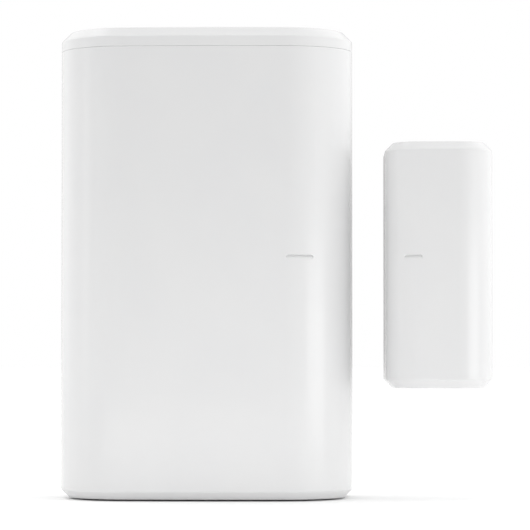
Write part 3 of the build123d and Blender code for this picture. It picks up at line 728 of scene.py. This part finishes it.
def floor_material():
    """A plain pale surface, hardly mottled."""
    material, tree, shader = start_material("floor_white", IOR=1.3)
    at = place_of(tree)
    colour_by(shader, grain(at, 40.0), (0.975, 0.975, 0.975), (0.985, 0.985, 0.985))
    rough_by(shader, grain(at, 20.0), 0.75, 0.85)
    return material


looks = {name: moulded(name, *values) for name, values in plastics.items()}
looks.update({name: metal(name, *values) for name, values in metals.items()})
looks["foam_tape"] = foam_material()
looks.update({name: board_material(name, *values) for name, values in solder_masks.items()})
looks["chip_black"] = chip_material()
looks["passive_ceramic"] = ceramic_material()
looks["reed_glass"] = glass_material()
looks["led_lens"] = lens_material()

# ---- Casing pieces

lip_y = (cover_high.y - LIP_DEPTH, cover_high.y)
lip_z = (cover_low.z + UNIT_WALL - ROOT / 2, cover_high.z - LIP_DROP)
wall_in = cover_high.x - UNIT_WALL
lips = [block((sign * LIP_IN, sign * (wall_in + ROOT)), lip_y, lip_z) for sign in (-1, 1)]
cover_shells = [cover_shell()] + lips
even_normals(make_piece("front_cover_shell", cover_shells, "housing_white", ["front_cover"], "cover"))

peg_top = cap_high.z - CAP_ROOF + ROOT
peg_profile = [
    (0.0, cap_low.z), (PEG_R - PEG_CHAMFER, cap_low.z), (PEG_R, cap_low.z + PEG_CHAMFER),
    (PEG_R, peg_top), (0.0, peg_top),
]
pegs = [lathe(peg_profile, up_z(x, y), sides=40) for x, y in PEG_SPOTS]
even_normals(make_piece("top_cap_shell", [cap_shell()] + pegs, "housing_white", ["top_cap"]))

magnet_cover = make_piece(
    "magnet_cover_shell", [magnet_shell()], "housing_white", ["magnet_cover"], "magnet_unit"
)
even_normals(magnet_cover)

# ---- Cells and springs

SLEEVE_LOW = 0.6
SLEEVE_SHORT = 1.6
RING_FROM_END = (4.2, 3.0)
cell_axes = {}
for cell, way in (("left", 1), ("right", -1)):
    can_r, can_mid, can_low, can_high = round_mm(f"cell_{cell}_can")
    cell_axes[way] = (can_mid.x, can_mid.y)
    flat_z = can_low.z if way > 0 else can_high.z
    length = can_high.z - can_low.z

    def cell_place(u, v, h, x=can_mid.x, y=can_mid.y, z=flat_z, way=way):
        return Vector((x + u, y + v, z + way * h))

    # The dimpled base, the straight can, its rolled shoulder and the raised positive end
    corners = [
        (0.0, 0.12), (2.9, 0.12), (3.1, 0.0), (4.1, 0.0), (4.35, 0.25),
        (can_r, 0.25), (can_r, length - 1.0),
        (4.1, length - 1.0), (3.85, length - 1.35), (2.35, length - 1.35),
        (2.1, length - 0.95), (1.9, length - 0.85), (1.9, length), (0.0, length),
    ]
    softness = (0.05, 0.05, 0.12, 0.1, 0.3, 0.45, 0.15, 0.12, 0.12, 0.05, 0.05, 0.3)
    can = lathe(rounded(corners, softness, arc_steps=4), cell_place, sides=96)
    make_piece(f"cell_{cell}_body", [can], "cell_can", [f"cell_{cell}_can"])

    sleeve_r = round_mm(f"cell_{cell}_jacket")[0]
    low, high = SLEEVE_LOW, length - SLEEVE_SHORT
    sleeve = [
        (can_r + 0.02, low), (sleeve_r - 0.04, low), (sleeve_r, low + 0.08),
        (sleeve_r, (low + high) / 2),
        (sleeve_r, high - 0.08), (sleeve_r - 0.04, high), (can_r + 0.02, high),
    ]
    ring_low, ring_high = sorted(flat_z + way * (length - down) for down in RING_FROM_END)
    make_piece(
        f"cell_{cell}_sleeve",
        [lathe(sleeve, cell_place, sides=128, closed=True)],
        "cell_jacket",
        [f"cell_{cell}_jacket"],
        look=jacket_material(f"cell_jacket_{cell}", ring_low, ring_high),
    )

SPRING_WIRE = 0.25
SPRING_BIG_R = 3.0
SPRING_SMALL_R = 1.6
SPRING_TURNS = 2
SPRING_FLAT = 0.08
SPRING_STEPS = 60


def cone_spring(x, y, z, way, rise):
    """A conical coil whose first stretch lies flat on its contact."""
    path = []
    count = SPRING_TURNS * SPRING_STEPS
    for k in range(count + 1):
        share = k / count
        radius = SPRING_BIG_R + (SPRING_SMALL_R - SPRING_BIG_R) * share
        turn = 2 * pi * SPRING_TURNS * share
        lift = rise * max(0.0, share - SPRING_FLAT) / (1 - SPRING_FLAT)
        path.append(Vector((x + radius * cos(turn), y + way * radius * sin(turn), z + way * lift)))
    return tube(path, SPRING_WIRE, sides=14)


for node, way in (("link_spring", 1), ("negative_spring", -1)):
    low, high = box_mm(node)
    rise = high.z - low.z - 2 * SPRING_WIRE
    seat = low.z + SPRING_WIRE if way > 0 else high.z - SPRING_WIRE
    coil = cone_spring(*cell_axes[way], seat, way, rise)
    make_piece(node + "_coil", [coil], "spring_steel", [node])

# ---- Tamper switch

PIN_R = 1.5
FLANGE_T = 1.0
flange_r, pin_mid, pin_low, pin_high = round_mm("tamper_plunger")
pin_corners = [
    (0.0, pin_high.y), (PIN_R, pin_high.y), (PIN_R, pin_low.y + FLANGE_T),
    (flange_r, pin_low.y + FLANGE_T), (flange_r, pin_low.y), (0.0, pin_low.y),
]
pin = turned(pin_corners, (0.5, 0.08, 0.12, 0.12), pin_mid, 72)
make_piece("tamper_pin_turned", [pin], "plunger_grey", ["tamper_plunger"], "tamper_pin")

TAMPER_WIRE = 0.15
TAMPER_COIL_R = 1.9
TAMPER_TURNS = 5
TAMPER_STEPS = 48
coil_low, coil_high = box_mm("tamper_spring")
coil_span = coil_high.y - coil_low.y
coil_steps = TAMPER_TURNS * TAMPER_STEPS
coil_path = []
for k in range(coil_steps + 1):
    turn = 2 * pi * k / TAMPER_STEPS
    coil_y = coil_low.y + TAMPER_WIRE + (coil_span - 2 * TAMPER_WIRE) * k / coil_steps
    coil_x = pin_mid.x + TAMPER_COIL_R * cos(turn)
    coil_path.append(Vector((coil_x, coil_y, pin_mid.z + TAMPER_COIL_R * sin(turn))))
tamper_coil = make_piece("tamper_coil", [tube(coil_path, TAMPER_WIRE)], "spring_steel", ["tamper_spring"])
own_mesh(tamper_coil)

# ---- Reset button and capacitor

knob_r, knob_mid, knob_low, knob_high = round_mm("reset_button")
knob_corners = [(0.0, knob_high.y), (knob_r, knob_high.y), (knob_r, knob_low.y), (0.0, knob_low.y)]
knob = turned(knob_corners, (0.1, 0.25), knob_mid, 56)
make_piece("reset_knob", [knob], "button_brown", ["reset_button"], "reset_plunger")

tin_r, tin_mid, tin_low, tin_high = round_mm("reservoir_capacitor")
groove_r = tin_r - 0.22
tin_corners = [
    (0.0, tin_low.y + 0.05), (tin_r - 0.55, tin_low.y + 0.05), (tin_r - 0.45, tin_low.y), (tin_r, tin_low.y),
    (tin_r, tin_high.y - 1.5), (groove_r, tin_high.y - 1.3), (groove_r, tin_high.y - 1.0),
    (tin_r, tin_high.y - 0.8), (tin_r, tin_high.y), (0.0, tin_high.y),
]
tin_softness = (0.04, 0.04, 0.3, 0.12, 0.1, 0.1, 0.12, 0.05)
tin = turned(tin_corners, tin_softness, tin_mid, 80, arc_steps=4)
make_piece("capacitor_tin", [tin], "capacitor_sleeve", ["reservoir_capacitor"])

# ---- Reed switch

LEAD_R = 0.25
LEAD_BEND_R = 0.9
BORE_R = 0.82
SEAL_T = 1.4
BLADE_T = 0.2
BLADE_W = 1.0
BLADE_GAP = 0.01
glass_r, glass_mid, glass_low, glass_high = round_mm("reed_glass")
reed_x, reed_y = glass_mid.x, glass_mid.y
seal_r = LEAD_R + 0.01
glass_corners = [
    (seal_r, glass_low.z + 0.15), (0.5, glass_low.z), (glass_r, glass_low.z + 0.5),
    (glass_r, glass_high.z - 0.5), (0.5, glass_high.z), (seal_r, glass_high.z - 0.15),
]
hollow = [
    (seal_r, glass_high.z - SEAL_T - 0.3), (BORE_R, glass_high.z - SEAL_T),
    (BORE_R, glass_low.z + SEAL_T), (seal_r, glass_low.z + SEAL_T + 0.3),
]
glass_wall = rounded(glass_corners, (0.12, 0.6, 0.6, 0.12), arc_steps=6) + rounded(hollow, (0.2, 0.2))
glass = lathe(glass_wall, up_z(reed_x, reed_y), closed=True)
make_piece("reed_tube", [glass], "reed_glass", ["reed_glass"])


def lead_wire(start_z, turn_z, way):
    """A lead that runs out of the glass and bends back to the board."""
    bend_z = turn_z - way * LEAD_BEND_R
    path = [Vector((reed_x, reed_y, start_z)), Vector((reed_x, reed_y, bend_z))]
    for turn in steps_between(0.0, pi / 2, pi / 24)[1:]:
        back = LEAD_BEND_R * (1 - cos(turn))
        path.append(Vector((reed_x, reed_y + back, bend_z + way * LEAD_BEND_R * sin(turn))))
    path.append(Vector((reed_x, face_y + SUNK, turn_z)))
    return tube(path, LEAD_R, sides=20)


fixed_low, fixed_high = box_mm("reed_fixed_lead")
lead_feet = (fixed_low.z + LEAD_R, box_mm("reed_top_lead")[1].z - LEAD_R)
blade = block(
    (reed_x + BLADE_GAP, reed_x + BLADE_GAP + BLADE_T),
    (reed_y - BLADE_W / 2, reed_y + BLADE_W / 2),
    (glass_low.z + SEAL_T, fixed_high.z),
)
fixed_wire = lead_wire(glass_low.z + SEAL_T + 0.2, lead_feet[0], -1)
make_piece("reed_fixed_wire", [fixed_wire, blade], "reed_lead", ["reed_fixed_lead"])
top_wire = lead_wire(glass_high.z - SEAL_T, lead_feet[1], 1)
make_piece("reed_top_wire", [top_wire], "reed_lead", ["reed_top_lead"])

# ---- Circuit board's small parts


def on_board(height):
    """The Y span of something that stands height proud of the board and is sunk in it a little."""
    return face_y - height, face_y + SUNK


def past_side(side, sign, inward, outward):
    """The span from inward of a side to outward of it, where sign is the way out."""
    return sorted((side - sign * inward, side + sign * outward))


SIGNAL = 0.28
SUPPLY = 0.7
thin_routes = [
    [(6.2, 7.9), (6.2, 6.7)],
    [(8.2, 7.9), (8.2, 6.7)],
    [(10.2, 7.9), (9.6, 7.3), (9.6, 6.7)],
    [(12.2, 7.9), (11.3, 7.0), (11.3, 6.3), (10.7, 5.7)],
    [(6.2, 8.9), (6.2, 10.6)],
    [(8.2, 8.9), (8.2, 10.6)],
    [(10.2, 8.9), (10.2, 10.6)],
    [(12.2, 8.9), (12.2, 9.4), (12.9, 10.1), (14.4, 10.1)],
    [(10.7, 4.5), (11.2, 4.5), (12.1, 5.4), (12.3, 5.4)],
    [(10.7, 3.7), (11.2, 3.7), (12.1, 2.8), (12.3, 2.8)],
    [(6.3, 1.5), (6.3, 0.6), (5.9, 0.2), (5.9, -1.5)],
    [(7.3, 1.5), (7.3, -0.3), (7.8, -0.8), (7.8, -1.5)],
    [(8.3, 1.5), (8.3, 0.4), (9.7, -1.0), (9.7, -1.5)],
    [(9.3, 1.5), (9.3, 0.9), (11.6, -1.4)],
    [(10.7, 2.4), (11.5, 1.6), (13.2, 1.6), (13.2, -7.0), (14.5, -8.3)],
    [(6.8, -1.7), (6.8, -3.2), (6.3, -3.7), (6.3, -4.1)],
    [(8.7, -1.7), (8.7, -3.6), (8.9, -3.8)],
    [(10.6, -1.7), (10.6, -8.2), (9.9, -8.9), (9.9, -9.6), (10.2, -9.9), (10.2, -10.3)],
    [(12.5, -1.7), (12.5, -12.2), (11.6, -13.1), (11.6, -20.0), (11.1, -20.5)],
    [(6.7, -10.4), (7.9, -10.4)],
    [(8.9, -11.8), (10.1, -11.8)],
    [(5.7, -10.4), (5.0, -11.1), (5.0, -14.8)],
    [(6.2, -20.8), (6.2, -21.2), (5.6, -21.8), (5.6, -30.2)],
    [(8.4, -20.8), (8.4, -21.6), (9.3, -22.5)],
    [(10.1, -20.6), (9.5, -20.6), (8.9, -20.6)],
    [(12.9, 12.0), (14.2, 12.0), (15.9, 13.7), (15.9, 17.5)],
    [(12.9, 15.2), (13.9, 15.2), (14.3, 15.6), (14.3, 17.5)],
    [(14.3, 18.5), (14.3, 20.4), (15.1, 21.2), (15.4, 21.2), (16.2, 22.0), (16.2, 23.4)],
    [(15.6, -5.6), (16.2, -6.2), (16.2, -12.4)],
    [(14.2, -15.9), (14.2, -22.4), (13.2, -23.4)],
    [(13.4, -28.6), (14.6, -28.6), (15.6, -27.6), (15.6, -15.8)],
]
wide_routes = [
    [(12.9, 20.0), (13.5, 20.6), (13.5, 23.4), (14.0, 23.9)],
    [(4.3, -15.0), (5.6, -15.0), (6.4, -15.8)],
    [(4.3, -19.4), (6.0, -19.4), (6.8, -18.6)],
]
routes = [track(SIGNAL, on_board(0.04), *route) for route in thin_routes]
routes += [track(SUPPLY, on_board(0.045), *route) for route in wide_routes]
make_piece("board_tracks", routes, "board_green", look=looks["track_green"])

PART_LONG = 1.0
PART_SHORT = 0.55
CAPACITOR_H = 0.5
RESISTOR_H = 0.36
END_LONG = 0.22
BODY_IN = 0.015
solder = looks["solder_tin"]
pad_y = on_board(0.06)
upright_parts = [(6.2 + 2.0 * k, 8.4) for k in range(4)]
level_parts = [(6.35 + 1.9 * k, -1.6) for k in range(4)]
level_parts += [(x, z) for x in (6.2, 8.4, 10.6) for z in (-10.4, -11.8, -20.6)]
ceramic_shells, resistor_shells, end_shells, pad_shells = [], [], [], []


def part_block(x, z, upright, span, half, y_span):
    """A block over a span along a chip part, and half to each side of its middle."""
    if upright:
        return block((x - half, x + half), y_span, (z + span[0], z + span[1]))
    return block((x + span[0], x + span[1]), y_span, (z - half, z + half))


for k, (x, z) in enumerate(upright_parts + level_parts):
    spot = (x, z, k < len(upright_parts))
    inner = PART_LONG / 2 - END_LONG
    resistor = k % 3 == 1
    top_y = face_y - (RESISTOR_H if resistor else CAPACITOR_H)
    kind = resistor_shells if resistor else ceramic_shells
    body_y = (top_y + BODY_IN, face_y - 0.03)
    kind.append(part_block(*spot, (-inner - 0.04, inner + 0.04), PART_SHORT / 2 - BODY_IN, body_y))
    for sign in (-1, 1):
        end = sorted((sign * inner, sign * PART_LONG / 2))
        end_shells.append(part_block(*spot, end, PART_SHORT / 2, (top_y, face_y)))
        pad = sorted((sign * (inner + 0.05), sign * (PART_LONG / 2 + 0.22)))
        pad_shells.append(part_block(*spot, pad, PART_SHORT / 2 + 0.06, pad_y))
make_piece("chip_capacitors", ceramic_shells, "passive_ceramic", ["passives"], rounding=0.05)
make_piece("chip_resistors", resistor_shells, "passive_ceramic", look=looks["chip_black"], rounding=0.03)
make_piece("chip_part_ends", end_shells, "passive_ceramic", look=solder, rounding=0.05)

# The controller's legs on its four sides, and the crystal's pads
PINS = 8
PIN_STEP = 0.5
PIN_HALF = 0.11
chip_low, chip_high = box_mm("controller_chip")
pin_y = (face_y - 0.16, face_y)
leg_shells = []
for k in range(PINS):
    along = (k - (PINS - 1) / 2) * PIN_STEP
    mid_x, mid_z = (chip_low.x + chip_high.x) / 2 + along, (chip_low.z + chip_high.z) / 2 + along
    for sign, corner in ((-1, chip_low), (1, chip_high)):
        out_x = past_side(corner.x, sign, 0.05, 0.32)
        out_z = past_side(corner.z, sign, 0.05, 0.32)
        leg_shells.append(block(out_x, pin_y, (mid_z - PIN_HALF, mid_z + PIN_HALF)))
        leg_shells.append(block((mid_x - PIN_HALF, mid_x + PIN_HALF), pin_y, out_z))
crystal_low, crystal_high = box_mm("crystal_can")
for sign, side_z in ((-1, crystal_low.z), (1, crystal_high.z)):
    pad_z = past_side(side_z, sign, 0.5, 0.3)
    pad_shells.append(block((crystal_low.x + 0.25, crystal_high.x - 0.25), pad_y, pad_z))

# Bent legs of the two switches, two on each side
LEG_HALF = 0.3
for node, inset in (("reset_switch_body", 0.7), ("tamper_switch_body", 1.2)):
    low, high = box_mm(node)
    for leg_z in (low.z + inset, high.z - inset):
        leg_span = (leg_z - LEG_HALF, leg_z + LEG_HALF)
        for sign, side_x in ((-1, low.x), (1, high.x)):
            leg_shells.append(block(past_side(side_x, sign, 0.1, 0.42), (face_y - 0.2, face_y), leg_span))
            shin = past_side(side_x, sign, 0.05, 0.16)
            leg_shells.append(block(shin, (face_y - 1.1, face_y - 0.05), leg_span))
            pad_x = past_side(side_x, sign, 0.1, 0.62)
            pad_shells.append(block(pad_x, pad_y, (leg_z - 0.42, leg_z + 0.42)))
make_piece("part_legs", leg_shells, "shield_tin", look=solder, rounding=0.04)

# Bare pads: the status light's, test points, and rings round the board's screws
TEST_PAD_R = 0.42
SCREW_RING = (1.3, 2.15)
led_low, led_high = box_mm("status_led")
led_sides = ((-1, led_low.x), (1, led_high.x))
for sign, side_x in led_sides:
    pad_x = past_side(side_x, sign, 0.35, 0.22)
    pad_shells.append(block(pad_x, pad_y, (led_low.z - 0.05, led_high.z + 0.05)))
dot = [(0.0, pad_y[1]), (TEST_PAD_R, pad_y[1]), (TEST_PAD_R, pad_y[0]), (0.0, pad_y[0])]
for x, z in ((13.6, -10.6), (5.6, -30.2), (14.2, -26.4), (15.4, -29.8)):
    pad_shells.append(lathe(dot, along_y(x, z), sides=28))
washer = [(r, y) for r, y in zip(SCREW_RING + SCREW_RING[::-1], (pad_y[1], pad_y[1], pad_y[0], pad_y[0]))]
for x, z in ((14.9, 25.5), (14.9, -14.0)):
    pad_shells.append(lathe(washer, along_y(x, z), sides=56, closed=True))
make_piece("board_pads", pad_shells, "shield_tin", look=solder)

# Solder round the reed switch's two leads
cone = [
    (0.0, face_y + SUNK), (0.75, face_y + SUNK), (0.7, face_y - 0.08),
    (0.4, face_y - 0.28), (0.27, face_y - 0.6), (0.0, face_y - 0.6),
]
cone = rounded(cone, (0.02, 0.05, 0.25, 0.02))
joints = [lathe(cone, along_y(reed_x, z), sides=40) for z in lead_feet]
make_piece("lead_solder", joints, "shield_tin", look=solder, sharp=50)

# Status light: a white body between two tinned ends, and a milky lens
LED_BODY_H = 0.4
led_mid_y = face_y - LED_BODY_H
led_z = (led_low.z, led_high.z)
led_body = block((led_low.x + 0.3, led_high.x - 0.3), (led_mid_y, face_y), led_z)
led_end_y = (led_mid_y + 0.08, face_y)
led_ends = [block(past_side(side_x, sign, 0.32, 0.0), led_end_y, led_z) for sign, side_x in led_sides]
lens_x, lens_z = (led_low.x + 0.4, led_high.x - 0.4), (led_low.z + 0.05, led_high.z - 0.05)
lens = block(lens_x, (led_low.y, led_mid_y + 0.05), lens_z)
make_piece("led_frame", [led_body], "led_lens", look=looks["cradle_white"], rounding=0.05)
make_piece("led_ends", led_ends, "led_lens", look=solder, rounding=0.04)
make_piece("led_dome", [lens], "led_lens", ["status_led"], rounding=0.2)

# Gold rims of the radio board's half holes
HALF_HOLES = 6
HALF_HOLE_Z = 12.0
HALF_HOLE_STEP = 1.6
HALF_HOLE_R = 0.4
HALF_RIM_R = 0.66
radio_low, radio_high = box_mm("radio_board")
half_turn = steps_between(-pi / 2, pi / 2, pi / 14)


def half_ring(x, z, way, outer_r, y_span):
    """Half a ring that opens to one side, from just inside a half hole out to outer_r."""
    outer, inner = (
        [(x + way * r * cos(t), z + r * sin(t)) for t in half_turn] for r in (outer_r, HALF_HOLE_R - 0.03)
    )
    return plate(outer + inner[::-1], y_span)


rims = []
for side_x, way in ((radio_low.x, 1), (radio_high.x, -1)):
    for k in range(HALF_HOLES):
        rim_z = HALF_HOLE_Z + HALF_HOLE_STEP * k
        face_span = (radio_low.y - 0.03, radio_low.y + SUNK)
        rims.append(half_ring(side_x, rim_z, way, HALF_RIM_R, face_span))
        rims.append(half_ring(side_x, rim_z, way, HALF_HOLE_R + 0.02, (radio_low.y, radio_high.y)))
make_piece("radio_rims", rims, "antenna_gold")

# ---- Carried-over CAD pieces

# Each node's look, and how wide its edges are rounded
carried_over = {
    "rear_base": ("base_white", 0.045),
    "mounting_tape": ("foam_tape", 0),
    "battery_holder": ("tray_black", 0.1),
    "positive_contact": ("contact_nickel", 0.05),
    "negative_contact": ("contact_nickel", 0.05),
    "link_contact": ("contact_nickel", 0.05),
    "circuit_board": ("board_green", 0.04),
    "board_screws": ("screw_steel", 0),
    "radio_board": ("radio_blue", 0.04),
    "shield_can": ("shield_tin", 0),
    "antenna": ("antenna_gold", 0.03),
    "controller_chip": ("chip_black", 0),
    "crystal_can": ("shield_tin", 0),
    "reed_moving_blade": ("reed_lead", 0),
    "tamper_switch_body": ("switch_black", 0.08),
    "reset_switch_body": ("switch_black", 0.08),
    "magnet_base": ("base_white", 0.1),
    "magnet_cradle": ("cradle_white", 0.1),
    "bar_magnet": ("magnet_nickel", 0.06),
    "magnet_tape": ("foam_tape", 0),
}
for node_name, (look, rounding) in carried_over.items():
    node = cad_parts[node_name]
    for holder in node.material_slots:
        holder.material = looks[look]
    if rounding:
        soften_edges(node, rounding)

# ---- Floor, light and camera

FLOOR_GAP = 0.24
FLOOR_HALF = 3.0
floor_z = (cover_low.z - FLOOR_GAP) * MM
floor_mesh = bpy.data.meshes.new("floor")
floor_mesh.from_pydata(
    [(x * FLOOR_HALF, y * FLOOR_HALF, floor_z) for x, y in ((-1, -1), (1, -1), (1, 1), (-1, 1))],
    [],
    [(0, 1, 2, 3)],
)
floor = bpy.data.objects.new("floor", floor_mesh)
bpy.context.scene.collection.objects.link(floor)
floor_mesh.materials.append(floor_material())
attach(floor, "cover")  # the main unit stands on its cover, so the floor stays under it


def area_light(name, at, aim, width, height, radiance):
    """A soft rectangular light whose surface has the given radiance."""
    data = bpy.data.lights.new(name, "AREA")
    data.shape = "RECTANGLE"
    data.size = width * MM
    data.size_y = height * MM
    data.energy = radiance * pi * data.size * data.size_y
    light = bpy.data.objects.new(name, data)
    light.location = Vector(at) * MM
    light.rotation_euler = (Vector(aim) - Vector(at)).to_track_quat("-Z", "Y").to_euler()
    light.visible_camera = False
    bpy.context.scene.collection.objects.link(light)


area_light("left_strip", (-455, -128, 60), (-20, -12, 60), 110, 700, radiance=0.64)
area_light("right_panel", (240, -60, 0), (0, -20, 0), 250, 300, radiance=0.27)
area_light("low_right", (190, -130, -20), (22, -15, -25), 120, 60, radiance=2.0)
area_light("floor_panel", (0, -60, -34.5), (0, -18, -22), 110, 24, radiance=0.76)
area_light("overhead", (0, -70, 260), (0, -70, 0), 200, 120, radiance=1.23)
area_light("upper_left", (-260, 140, 520), (-20, 0, 35), 160, 160, radiance=1.0)

WORLD_ZENITH = 0.74
WORLD_LEFT = 0.81
WORLD_RIGHT = 0.86
WORLD_BACK = 0.54
WHITE = (1.0, 1.0, 1.0, 1.0)
world = bpy.data.worlds.new("studio")
bpy.context.scene.world = world
world.use_nodes = True
sky = world.node_tree
sky.nodes.clear()
way_out = add_node(sky, "ShaderNodeTexCoord").outputs["Generated"]
along_view = add_node(sky, "ShaderNodeSeparateXYZ", {"Vector": way_out}).outputs
above = spread(along_view["Z"], 0.0, WORLD_ZENITH, 0.15, 0.85)
left = spread(along_view["X"], WORLD_LEFT, 0.0, -0.8, -0.1)
right = spread(along_view["X"], 0.0, WORLD_RIGHT, 0.1, 0.8)
behind = spread(along_view["Y"], 0.0, WORLD_BACK, 0.0, 0.7)
beside = figure("ADD", left, right)
level = figure("ADD", beside, figure("ADD", above, behind))
lit = add_node(sky, "ShaderNodeBackground", {"Color": WHITE, "Strength": level})
seen = add_node(sky, "ShaderNodeBackground", {"Color": WHITE, "Strength": 1.0})
path = add_node(sky, "ShaderNodeLightPath")
both = add_node(
    sky,
    "ShaderNodeMixShader",
    {0: path.outputs["Is Camera Ray"], 1: lit.outputs["Background"], 2: seen.outputs["Background"]},
)
add_node(sky, "ShaderNodeOutputWorld", {"Surface": both.outputs["Shader"]})

scene = bpy.context.scene
scene.view_settings.view_transform = "Standard"
scene.view_settings.look = "None"
scene.view_settings.exposure = 0.0
scene.view_settings.gamma = 1.0

CAMERA_AT = (18.6, -428.0, -12.9)
CAMERA_YAW = 1.34
CAMERA_PITCH = 1.757
CAMERA_LENS = 188.2
camera_data = bpy.data.cameras.new("camera")
camera_data.lens = CAMERA_LENS
camera_data.sensor_width = 36.0
camera_data.clip_start = 0.01
camera_data.clip_end = 20.0
camera = bpy.data.objects.new("camera", camera_data)
camera.location = Vector(CAMERA_AT) * MM
camera.rotation_euler = (radians(90 + CAMERA_PITCH), 0.0, radians(CAMERA_YAW))
scene.collection.objects.link(camera)
scene.camera = camera
